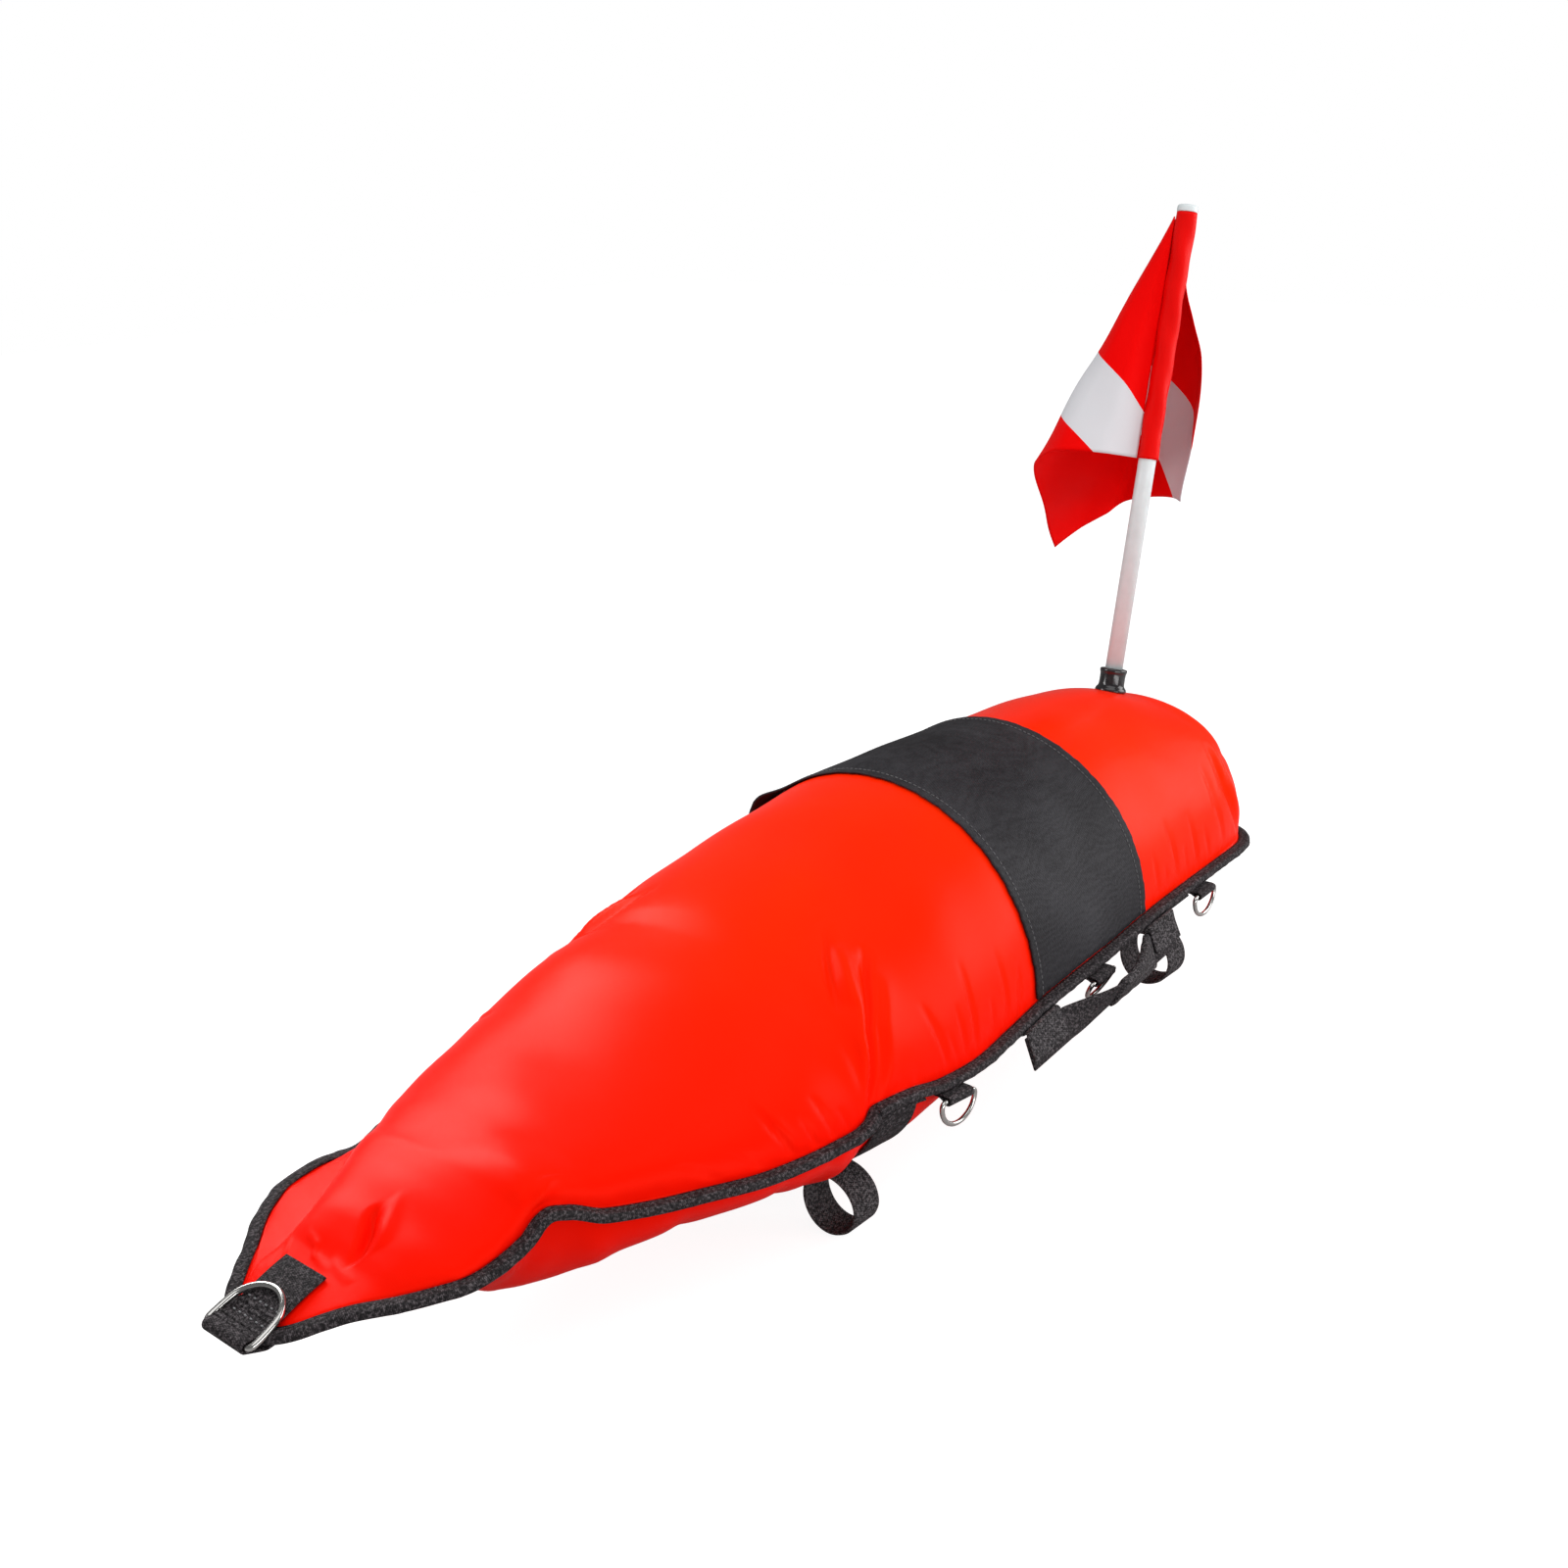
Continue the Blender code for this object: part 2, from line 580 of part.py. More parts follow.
def zip_fastener():
    """Zip along the flat keel: tape with its coil, a slider that runs on it and its pull."""
    top = keel_height(VALVE_X) - WEBBING_LIFT
    middle, length = (ZIP_FROM + ZIP_TO) / 2, ZIP_TO - ZIP_FROM
    half_tape, drop = ZIP_TAPE_WIDTH / 2, ZIP_TAPE_THICKNESS
    coil_low = drop + ZIP_COIL_RADIUS * 0.8
    section = (
        (-half_tape, 0.0), (half_tape, 0.0), (half_tape, -drop), (ZIP_COIL_RADIUS, -drop),
        (ZIP_COIL_RADIUS * 0.7, -coil_low), (-ZIP_COIL_RADIUS * 0.7, -coil_low),
        (-ZIP_COIL_RADIUS, -drop), (-half_tape, -drop),
    )
    lying = Matrix.Translation((middle, 0.0, top)) @ Matrix(((0, 0, 1), (1, 0, 0), (0, 1, 0))).to_4x4()
    tape = outline_solid("zip_tape", [section], length, BLACK_WEBBING, ROOT)
    tape.matrix_local = lying
    zip_slider(top)


def zip_slider(top):
    start = ZIP_FROM + ZIP_STOP_LENGTH + SLIDER_LENGTH / 2
    under = ZIP_TAPE_THICKNESS + FIT_GAP
    half, outer = ZIP_COIL_RADIUS + FIT_GAP, SLIDER_WIDTH / 2
    coil = ZIP_TAPE_THICKNESS + ZIP_COIL_RADIUS * 0.8 + FIT_GAP
    low = max(coil + SLIDER_WALL, SLIDER_HEIGHT)
    section = (
        (outer, -under), (outer, -low), (-outer, -low), (-outer, -under), (-half, -under),
        (-half, -coil), (half, -coil), (half, -under),
    )
    turned_matrix = Matrix(((0, 0, 1), (1, 0, 0), (0, 1, 0))).to_4x4()
    place = empty_at("zip_slider_place", Matrix.Translation((start, 0.0, top)), ROOT)
    body = outline_solid("zip_slider", [section], SLIDER_LENGTH, STEEL, place)
    body.matrix_local = turned_matrix
    bail = zip_bail_height(low)
    hanging = Matrix.Translation((0.0, 0.0, -bail)) @ Matrix.Rotation(math.radians(90), 4, "Y")
    hinge = empty_at("zip_pull_hinge", hanging, place)
    zip_pull(hinge)
    return low


def zip_bail_height(low):
    return low + FIT_GAP + math.hypot(PULL_PIN_RADIUS, PULL_THICKNESS / 2)


def zip_pull(hinge):
    """Flat tab that hangs from the slider."""
    half = PULL_WIDTH / 2
    outline = [(-PULL_PIN_RADIUS, -half), (PULL_LENGTH - half, -half)]
    for step in range(1, 8):
        turn = math.radians(-90 + 180 * step / 8)
        outline.append((PULL_LENGTH - half + half * math.cos(turn), half * math.sin(turn)))
    outline += [(PULL_LENGTH - half, half), (-PULL_PIN_RADIUS, half)]
    outline_solid("zip_pull", [outline], PULL_THICKNESS, STEEL, hinge)


def crown_strip(name, first_x, last_x, thickness, look, lift, edge_share):
    """Cloth over the crown from seam to seam, between two stations."""
    rows = []
    for i, x in enumerate(STATIONS):
        if x < first_x - WELD or x > last_x + WELD:
            continue
        lifted = CROWN_GRID[i] + lift * CROWN_NORMALS[i]
        near = lifted[0] + (lifted[1] - lifted[0]) * edge_share
        far = lifted[-1] + (lifted[-2] - lifted[-1]) * edge_share
        rows.append([near, *lifted[1:-1], far])
    return thicken(add_object(name, grid_mesh(name, rows), look), thickness, True)


def saddle_panel():
    edge_share = (BINDING_HALF - LAYER_BASE + FIT_GAP) / (CROWN_HEIGHT * math.sin(math.radians(ANGLES[1])))
    return crown_strip(
        "saddle_panel", SADDLE_FRONT_X, SADDLE_REAR_X, SADDLE_THICKNESS, SADDLE_CLOTH,
        WEBBING_LIFT, edge_share,
    )


def strap_row(i, x, lift):
    under = -TAB_TOP
    near_edge = seam_side(x, FLANGE_WIDTH, under)
    near_corner = seam_side(x, lift, under)
    far_corner = seam_side(x, lift, under, 1)
    far_edge = seam_side(x, FLANGE_WIDTH, under, 1)
    wall = BELLY_GRID[i] + lift * BELLY_NORMALS[i]
    return [far_edge, far_corner, *wall[-2:0:-1], near_corner, near_edge]


def belly_strap(name, middle_x):
    half = BELLY_STRAP_WIDTH / 2
    rows = [
        strap_row(i, x, WEBBING_LIFT) for i, x in enumerate(STATIONS)
        if middle_x - half - WELD <= x <= middle_x + half + WELD
    ]
    made = add_object(name, grid_mesh(name, rows), BLACK_WEBBING)
    return thicken(made, BELLY_STRAP_THICKNESS, True)


def gear_loop(name, strap_x, loop_x, angle, side):
    """A closed band of hook-and-loop webbing sewn under a belly strap, open along the float."""
    half_strap, half = BELLY_STRAP_WIDTH / 2, LOOP_WIDTH / 2
    ends = (strap_x - half_strap, strap_x + half_strap)

    def strap_point(turned):
        if side > 0:
            turned = 180 - turned
        return np.mean([surface_point(x, turned, True) for x in ends], axis=0)

    surface = strap_point(angle)
    tangent = strap_point(angle + 1) - strap_point(angle - 1)
    normal = np.array((0.0, -side * tangent[2], side * tangent[1]))
    normal *= math.copysign(1 / np.linalg.norm(normal), -normal[2])
    reach = WEBBING_LIFT + BELLY_STRAP_THICKNESS + 2 * FIT_GAP + LOOP_OUTER_RADIUS
    centre = surface + reach * normal
    rows = []
    for step in range(LOOP_SEGMENTS):
        round_turn = 2 * math.pi * step / LOOP_SEGMENTS
        y = LOOP_OUTER_RADIUS * math.cos(round_turn)
        z = LOOP_OUTER_RADIUS * math.sin(round_turn)
        rows.append([(-half, y, z), (half, y, z)])
    mesh = grid_mesh(name, rows, wrap_rows=True)
    made = thicken(add_object(name, mesh, BLACK_WEBBING), LOOP_THICKNESS)
    made.location = (loop_x, centre[1], centre[2])
    return made


def seam_frame(x, side):
    """A place on the seam: local X runs along it, Y points away from the float, and Z is up."""
    normal = plan_normal(x)
    outward = Vector((normal[0], -side * normal[1], 0.0))
    step = OVERALL_LENGTH * 0.004
    behind, ahead = seam_side(x - step, 0.0, 0.0, side), seam_side(x + step, 0.0, 0.0, side)
    along = Vector(ahead - behind).normalized() * side * -1
    up = along.cross(outward).normalized()
    if up[2] < 0:
        along, up = -along, -up
    seat = Vector(seam_side(x, 0.0, 0.0, side))
    turn = Matrix((along, up.cross(along), up)).transposed().to_4x4()
    return Matrix.Translation(seat) @ turn


def eye_outline(sewn_from, eye_at, drop, radius, thickness):
    """Webbing folded round a bar: flat tail, round eye, in the plane across the seam."""
    outer = radius + RING_CLEARANCE + thickness / 2
    hole = radius + RING_CLEARANCE
    outline = [(sewn_from, drop), (sewn_from, drop - thickness)]
    centre = (eye_at, drop - outer)
    start = 180 - math.degrees(math.asin(min(1.0, (outer - thickness) / outer)))
    for step in range(13):
        turn = math.radians(start + (450 - start) * step / 12)
        outline.append((centre[0] + outer * math.cos(turn), centre[1] + outer * math.sin(turn)))
    inner = []
    for step in range(12):
        turn = math.radians(360 * step / 12)
        inner.append((centre[0] + hole * math.cos(turn), centre[1] + hole * math.sin(turn)))
    return outline, inner, centre


def d_ring_points(width, depth, wire_diameter):
    """Middle line of a D-ring: bar along X through the origin, bow towards -Z."""
    half = (width - wire_diameter) / 2
    corner = wire_diameter * 0.9
    bow = depth - wire_diameter
    straight = bow - half if bow > half else 0.0
    points = [(-half + corner, 0.0, 0.0), (half - corner, 0.0, 0.0)]
    points += [(half - corner * 0.3, 0.0, -corner * 0.3), (half, 0.0, -corner)]
    for step in range(1, 10):
        turn = math.pi * step / 10
        points.append((half * math.cos(turn), 0.0, -max(corner, straight) - (bow - max(corner, straight)) * math.sin(turn)))
    points += [(-half, 0.0, -corner), (-half + corner * 0.3, 0.0, -corner * 0.3)]
    return points


def side_ring(label, x, side, lean):
    """Webbing tab under the flange with a D-ring that hangs in its eye."""
    radius = SIDE_RING_WIRE / 2
    place = empty_at(f"{label}_place", seam_frame(x, side), ROOT)
    eye_at = BINDING_REACH + TAB_REACH - radius - TAB_THICKNESS / 2
    sewn_from = BINDING_REACH - TAB_SEWN_LENGTH
    outline, inner, centre = eye_outline(sewn_from, eye_at, -TAB_TOP, radius, TAB_THICKNESS)
    tab = outline_solid(f"{label}_tab", [outline, inner], SIDE_TAB_WIDTH - 2 * SIDE_RING_WIRE, BLACK_WEBBING, place)
    tab.matrix_local = Matrix(((0, 0, 1), (1, 0, 0), (0, 1, 0))).to_4x4()
    hinge = Matrix.Translation((0.0, centre[0], centre[1])) @ Matrix.Rotation(math.radians(lean), 4, "X")
    joint = empty_at(f"{label}_hinge", hinge, place)
    points = d_ring_points(SIDE_RING_WIDTH, SIDE_RING_DEPTH, SIDE_RING_WIRE)
    wire(f"{label}_ring", points, radius, STEEL, joint)


def nose_strap():
    """Webbing over and under the nose, folded round the bar of the tow ring."""
    radius = NOSE_RING_WIRE / 2
    eye = radius + RING_CLEARANCE
    outer = eye + NOSE_STRAP_THICKNESS

    def face(x, under_it, extra):
        """Height of a webbing face over, or under, the tongue at this distance from the front."""
        at = max(x, NOSE_TIP)
        seam, skin = seam_height(at), surface_point(at, 90, under_it)[2]
        half_tongue = max(BINDING_HALF * seam_steepness(at), abs(skin - seam))
        rest = half_tongue + 3 * FIT_GAP + extra
        return (x, seam - rest if under_it else seam + rest)

    over_x = [NOSE_STRAP_BACK - (NOSE_STRAP_BACK - NOSE_TIP / 2) * step / 5 for step in range(6)]
    under_x = [NOSE_STRAP_UNDER - (NOSE_STRAP_UNDER - NOSE_TIP / 2) * step / 5 for step in range(6)]

    def over(x, extra):
        return face(x, False, extra)

    def under(x, extra):
        return face(x, True, extra)

    bar = (NOSE_TIP - NOSE_RING_AHEAD, over(NOSE_TIP, 0.0)[1] - NOSE_RING_DROP)
    notch = NOSE_TIP - BINDING_REACH - FIT_GAP
    outline = [over(x, NOSE_STRAP_THICKNESS) for x in over_x]
    for step in range(9):
        turn = math.radians(75 + 150 * step / 8)
        outline.append((bar[0] + outer * math.cos(turn), bar[1] + outer * math.sin(turn)))
    outline.append((notch - NOSE_STRAP_THICKNESS, under(NOSE_TIP, NOSE_STRAP_THICKNESS)[1]))
    outline += [under(x, NOSE_STRAP_THICKNESS) for x in under_x[::-1]]
    outline += [under(x, 0.0) for x in under_x]
    outline += [(notch, under(NOSE_TIP, 0.0)[1]), (notch, over(NOSE_TIP, 0.0)[1])]
    outline += [over(x, 0.0) for x in over_x[::-1]]
    hole = []
    for step in range(12):
        turn = math.radians(360 * step / 12)
        hole.append((bar[0] + eye * math.cos(turn), bar[1] + eye * math.sin(turn)))
    strap = outline_solid("nose_strap", [outline, hole], NOSE_STRAP_WIDTH, BLACK_WEBBING, ROOT)
    strap.matrix_local = Matrix(((1, 0, 0), (0, 0, -1), (0, 1, 0))).to_4x4()
    hinge = Matrix.Translation((bar[0], 0.0, bar[1]))
    hinge = hinge @ Matrix.Rotation(math.radians(90), 4, "Z")
    hinge = hinge @ Matrix.Rotation(math.radians(-90 - NOSE_RING_REST_DEG), 4, "X")
    joint = empty_at("nose_ring_hinge", hinge, ROOT)
    points = d_ring_points(NOSE_RING_WIDTH, NOSE_RING_DEPTH, NOSE_RING_WIRE)
    wire("nose_ring", points, radius, STEEL, joint, roundness=2)


def pole_frame():
    base = Vector((POLE_X, 0.0, surface_point(POLE_X, ANGLES[ANGLE_STEPS // 2])[2]))
    lean = Matrix.Rotation(math.radians(POLE_LEAN_DEG), 4, "Y")
    return Matrix.Translation(base) @ lean


def pole_and_socket():
    place = empty_at("pole_place", pole_frame(), ROOT)
    base = SOCKET_FLOOR * 0.35
    bore = POLE_RADIUS + SOCKET_CLEARANCE
    profile = (
        (SOCKET_RIM_RADIUS, SOCKET_HEIGHT),
        (SOCKET_RIM_RADIUS, SOCKET_HEIGHT * 0.94),
        (SOCKET_WAIST_RADIUS, SOCKET_HEIGHT * 0.70),
        (SOCKET_WAIST_RADIUS, SOCKET_HEIGHT * 0.32),
        (SOCKET_WAIST_RADIUS + 0.3 * (SOCKET_BASE_RADIUS - SOCKET_WAIST_RADIUS), SOCKET_HEIGHT * 0.20),
        (SOCKET_BASE_RADIUS, SOCKET_HEIGHT * 0.10),
        (SOCKET_BASE_RADIUS, base),
        (0.0, base),
    )
    floor = base + SOCKET_FLOOR
    inner = ((0.0, floor), (bore, floor), (bore, SOCKET_HEIGHT))
    turned("pole_socket", inner + profile, BLACK_PVC, place)
    seat = floor + FIT_GAP
    joint = empty_at("pole_slide", Matrix.Translation((0.0, 0.0, seat)), place)
    inside = POLE_RADIUS - POLE_WALL
    tube = (
        (POLE_RADIUS, POLE_LENGTH), (POLE_RADIUS, 0.0), (inside, 0.0), (inside, POLE_LENGTH),
    )
    turned("flag_pole", tube, WHITE_TUBE, joint)
    cap_inner, cap_outer = POLE_RADIUS + FIT_GAP, POLE_RADIUS + FIT_GAP + TIP_CAP_WALL
    cap_low = POLE_LENGTH - TIP_CAP_HEIGHT
    cap_top = POLE_LENGTH + FIT_GAP
    cap = (
        (0.0, cap_top + TIP_CAP_WALL), (cap_outer * 0.8, cap_top + TIP_CAP_WALL),
        (cap_outer, cap_top), (cap_outer, cap_low), (cap_inner, cap_low), (cap_inner, cap_top),
        (0.0, cap_top),
    )
    turned("pole_tip_cap", cap, WHITE_TUBE, joint)
    turning = empty_at("flag_turn", Matrix.Translation((0.0, 0.0, cap_low - FIT_GAP)), joint)
    flag(turning)


def flag_directions():
    """Unit directions of the hanging flag's rulings, evenly spaced by the angle between them."""
    facing = math.radians(FLAG_FACING_DEG)
    right = Vector((math.cos(facing), -math.sin(facing), 0.0))
    back = Vector((math.sin(facing), math.cos(facing), 0.0))
    sideways = smooth_curve([(i, share[0]) for i, share in enumerate(FLAG_CONE_SHARES)])
    backward = smooth_curve([(i, share[1]) for i, share in enumerate(FLAG_CONE_SHARES)])
    spread = smooth_curve(FLAG_SPREAD_SHARES)

    def ray(at, reach):
        side = sideways(at) * (spread(reach / FLAG_FLY) if sideways(at) > 0 else 1.0)
        down = Vector((0.0, 0.0, -1.0))
        return (down + side * right + backward(at) * back).normalized()

    steps = 200
    ends = [(len(FLAG_CONE_SHARES) - 1) * i / steps for i in range(steps + 1)]
    travelled = [0.0]
    for low, high in zip(ends, ends[1:]):
        travelled.append(travelled[-1] + ray(low, FLAG_FLY / 2).angle(ray(high, FLAG_FLY / 2)))

    def direction(turn, reach):
        share = turn / (math.pi / 2) * travelled[-1]
        i = min(int(np.searchsorted(travelled, share)), steps)
        return ray(ends[i], reach)

    return direction, right, back


def flag_reaches(turn):
    """Distances from the top of the hoist along one ruling: red, the white stripe, and red."""
    across, down = math.sin(turn), math.cos(turn)
    edge = min(FLAG_HOIST / max(down, WELD), FLAG_FLY / max(across, WELD))
    slope = math.hypot(1 / FLAG_FLY, 1 / FLAG_HOIST)
    facing = (across / FLAG_FLY + down / FLAG_HOIST) / slope
    stripe = [min((1 / slope + way * FLAG_STRIPE_WIDTH / 2) / facing, edge) for way in (-1, 1)]
    ends = (edge * FLAG_ROOT_SHARE, stripe[0], stripe[1], edge)
    reaches = [ends[0]]
    for low, high, steps in zip(ends, ends[1:], FLAG_ROWS):
        reaches += [low + (high - low) * (step + 1) / steps for step in range(steps)]
    return reaches


def flag(turning):
    sleeve = (
        (SLEEVE_RADIUS, 0.0), (SLEEVE_RADIUS, -FLAG_HOIST),
        (SLEEVE_RADIUS - SLEEVE_WALL, -FLAG_HOIST), (SLEEVE_RADIUS - SLEEVE_WALL, 0.0),
    )
    turned("flag_sleeve", sleeve, RED_CLOTH, turning)
    direction, right, back = flag_directions()
    stand_off = SLEEVE_RADIUS + 1.5 * FIT_GAP
    columns = []
    for j in range(FLAG_RULINGS + 1):
        turn = math.pi / 2 * j / FLAG_RULINGS
        wrap = math.radians(180 - FLAG_WRAP_DEG * j / FLAG_RULINGS)
        base = stand_off * (math.cos(wrap) * right + math.sin(wrap) * back)
        columns.append([base + reach * direction(turn, reach) for reach in flag_reaches(turn)])
    rows = [[column[i] for column in columns] for i in range(sum(FLAG_ROWS) + 1)]
    stripe = range(FLAG_ROWS[0], FLAG_ROWS[0] + FLAG_ROWS[1])
    slots = [int(i in stripe) for i in range(sum(FLAG_ROWS)) for _ in range(FLAG_RULINGS)]
    mesh = grid_mesh("flag_cloth", rows, slots=slots)
    mesh.materials.append(RED_CLOTH)
    mesh.materials.append(WHITE_CLOTH)
    thicken(add_object("flag_cloth", mesh, RED_CLOTH, turning), FLAG_THICKNESS)


def handle_frame():
    """Hinge line of the handle: X from the front tab to the rear one, Y outwards, Z up."""
    outward = BINDING_REACH + HANDLE_TAB_STAND_OFF + TAB_THICKNESS / 2
    front, rear = (Vector(seam_side(x, outward, -TAB_THICKNESS / 2)) for x in HANDLE_TAB_XS)
    along = (rear - front).normalized()
    outwards = Vector((0.0, 0.0, -1.0)).cross(along).normalized()
    turn = Matrix((-along, outwards, (-along).cross(outwards))).transposed().to_4x4()
    return Matrix.Translation(front) @ turn, (rear - front).length


def handle():
    """Webbing that hangs between two tabs, and swings out with them from the near seam."""
    frame, span = handle_frame()
    joint = empty_at("handle_hinge", frame @ Matrix.Rotation(math.radians(HANDLE_REST_DEG), 4, "X"), ROOT)
    bead = TAB_THICKNESS / 2
    outline = [(bead, -HANDLE_TAB_DROP), (bead, 0.0)]
    for step in range(1, 8):
        turn = math.pi * step / 8
        outline.append((bead * math.cos(turn), bead * math.sin(turn)))
    outline += [(-bead, 0.0), (-bead, -HANDLE_TAB_DROP)]
    across = Matrix(((0, 0, 1), (1, 0, 0), (0, 1, 0))).to_4x4()
    for label, along, width in zip(("front", "rear"), (0.0, -span), HANDLE_TAB_WIDTHS):
        tab = outline_solid(f"handle_{label}_tab", [outline], width, BLACK_WEBBING, joint)
        tab.matrix_local = Matrix.Translation((along, 0.0, 0.0)) @ across
    front, rear = HANDLE_TAB_XS
    ends = tuple((x - front) / (rear - front) for x in (GRIP_FROM, GRIP_TO))
    shares = [-0.13 + 1.22 * step / 16 for step in range(17)]
    shares = [share for share in shares if min(abs(share - end) for end in ends) > 0.03]
    shares = sorted([*shares, *ends, *HANDLE_FREE_SHARES])
    mesh = grid_mesh("carry_handle", band_rows(span, shares, 0.0), wrap_columns=True, caps=True)
    add_object("carry_handle", mesh, BLACK_WEBBING, joint)
    wrapped = [share for share in shares if ends[0] <= share <= ends[1]]
    sleeve = grid_mesh("handle_grip", band_rows(span, wrapped, FIT_GAP), wrap_columns=True)
    thicken(add_object("handle_grip", sleeve, BLACK_WEBBING, joint), GRIP_WALL, True)


def band_rows(span, shares, extra):
    """Cross-sections of the handle webbing, by share of the span between the tabs."""
    first, last = HANDLE_FREE_SHARES
    rows = []
    for share in shares:
        between = min(max((share - first) / (last - first), 0.0), 1.0)
        hang = math.sin(math.pi * between)
        inset = TAB_THICKNESS / 2 + 2 * FIT_GAP + HANDLE_THICKNESS / 2
        low = TAB_THICKNESS / 2 + GRIP_WALL + HANDLE_WIDTH / 2 + HANDLE_SAG * hang
        middle = np.array((-span * share, HANDLE_BULGE * hang - inset, -low))
        tilt = math.radians(90 - HANDLE_TILT_DEG * hang)
        width = np.array((0.0, math.cos(tilt), math.sin(tilt)))
        face = np.array((0.0, -math.sin(tilt), math.cos(tilt)))
        half, thin = HANDLE_WIDTH / 2 + extra, HANDLE_THICKNESS / 2 + extra
        rows.append([
            middle + half * across * width + thin * through * face
            for across, through in ((-1, -1), (1, -1), (1, 1), (-1, 1))
        ])
    return rows


def stand_on_floor():
    """Moves everything so that the origin is the middle of the bounding box, on the floor."""
    bpy.context.view_layer.update()
    graph = bpy.context.evaluated_depsgraph_get()
    corners = []
    for item in parts.objects:
        solid = item.evaluated_get(graph)
        mesh = solid.to_mesh()
        points = np.empty(len(mesh.vertices) * 3, np.float32)
        mesh.vertices.foreach_get("co", points)
        world = np.array(solid.matrix_world)
        points = points.reshape(-1, 3) @ world[:3, :3].T + world[:3, 3]
        corners += [points.min(axis=0), points.max(axis=0)]
        solid.to_mesh_clear()
    low, high = np.min(corners, axis=0), np.max(corners, axis=0)
    middle = (low + high) / 2
    ROOT.location = (-middle[0], -middle[1], -low[2])
    bpy.context.view_layer.update()


def build():
    top_panel()
    bottom_panel()
    edge_binding()
    bladder()
    inflation_valve()
    zip_fastener()
    saddle_panel()
    belly_strap("front_belly_strap", FRONT_STRAP_X)
    belly_strap("rear_belly_strap", REAR_STRAP_X)
    for side, label in ((-1, "near"), (1, "far")):
        front, rear = f"front_{label}_gear_loop", f"rear_{label}_gear_loop"
        gear_loop(front, FRONT_STRAP_X, FRONT_LOOP_X, FRONT_LOOP_ANGLE, side)
        gear_loop(rear, REAR_STRAP_X, REAR_STRAP_X, REAR_LOOP_ANGLE, side)
    for label, x, lean in zip(("front", "middle", "rear"), SIDE_TAB_XS, NEAR_RING_LEANS_DEG):
        side_ring(f"near_{label}", x, -1, lean)
        side_ring(f"far_{label}", x, 1, 0.0)
    nose_strap()
    pole_and_socket()
    handle()
    stand_on_floor()


build()
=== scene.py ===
"""A dive flag float in a pale studio: an air bladder in a sewn nylon cover, with webbing, rings,
a carry handle, and a pole with a hanging flag. Metres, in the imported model's own frame.
"""

import math

import bpy
import numpy as np
from mathutils import Matrix, Vector


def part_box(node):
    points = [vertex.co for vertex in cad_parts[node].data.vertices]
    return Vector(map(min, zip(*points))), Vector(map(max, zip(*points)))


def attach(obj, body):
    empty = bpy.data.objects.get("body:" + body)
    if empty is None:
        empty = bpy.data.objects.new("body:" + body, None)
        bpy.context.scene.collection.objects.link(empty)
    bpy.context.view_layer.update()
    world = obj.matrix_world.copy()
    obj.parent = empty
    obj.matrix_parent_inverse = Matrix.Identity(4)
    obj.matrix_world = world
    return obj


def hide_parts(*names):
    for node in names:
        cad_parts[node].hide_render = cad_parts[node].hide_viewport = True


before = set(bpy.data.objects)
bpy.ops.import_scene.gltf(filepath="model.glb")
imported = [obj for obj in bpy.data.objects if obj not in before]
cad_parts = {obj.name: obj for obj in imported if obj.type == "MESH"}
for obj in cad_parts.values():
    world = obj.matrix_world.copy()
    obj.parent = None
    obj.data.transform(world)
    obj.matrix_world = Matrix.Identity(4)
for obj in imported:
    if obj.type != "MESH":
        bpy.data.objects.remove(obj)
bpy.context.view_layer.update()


# The studio: a pale floor that keeps a soft shadow, a white surround, and a camera a little
# above the float, off its nose.
# Sizes along the float are measured from the front of its nose webbing: FLOAT_AT is that place
FLOAT_AT = np.array((-0.52777, 0.00324, 0.11517))
CAMERA_FROM_NOSE = np.array((-0.4400, -0.8002, 0.6095))
CAMERA_RIGHT = (0.64608, -0.76264, -0.03091)
CAMERA_UP = (0.27726, 0.19677, 0.94043)
LENS_MM = 42.02
SURROUND, SKY_LEVEL, MIRRORED_SKY = 1.0, 0.66, 0.16
FLOOR_HALF, FLOOR_DROP = 6.0, 0.0004
FLOOR_SHADE, FLOOR_GLOW = 0.36, 0.88


def sum_of(tree, operation, first, second=None, third=None):
    """A Math node's output; each value is a number or another node's output."""
    node = tree.nodes.new("ShaderNodeMath")
    node.operation = operation
    for socket, value in zip(node.inputs, (first, second, third)):
        if value is None:
            continue
        if isinstance(value, (int, float)):
            socket.default_value = value
        else:
            tree.links.new(value, socket)
    return node.outputs[0]


def new_finish(name, colour, **values):
    """A material with plain values on its Principled shader. Gives it, its node tree and the shader."""
    made = bpy.data.materials.new(name)
    made.use_nodes = True
    shader = made.node_tree.nodes["Principled BSDF"]
    shader.inputs["Base Color"].default_value = (*colour, 1.0)
    for words, value in values.items():
        shader.inputs[words.replace("_", " ")].default_value = value
    return made, made.node_tree, shader


right, up = Vector(CAMERA_RIGHT), Vector(CAMERA_UP)
lens_data = bpy.data.cameras.new("studio camera")
lens_data.lens = LENS_MM
camera = bpy.data.objects.new("studio camera", lens_data)
camera.matrix_world = Matrix.Translation(Vector(FLOAT_AT + CAMERA_FROM_NOSE)) @ (
    Matrix((right, up, right.cross(up))).transposed().to_4x4()
)
bpy.context.scene.collection.objects.link(camera)
bpy.context.scene.camera = camera
bpy.context.scene.view_settings.view_transform = "Standard"

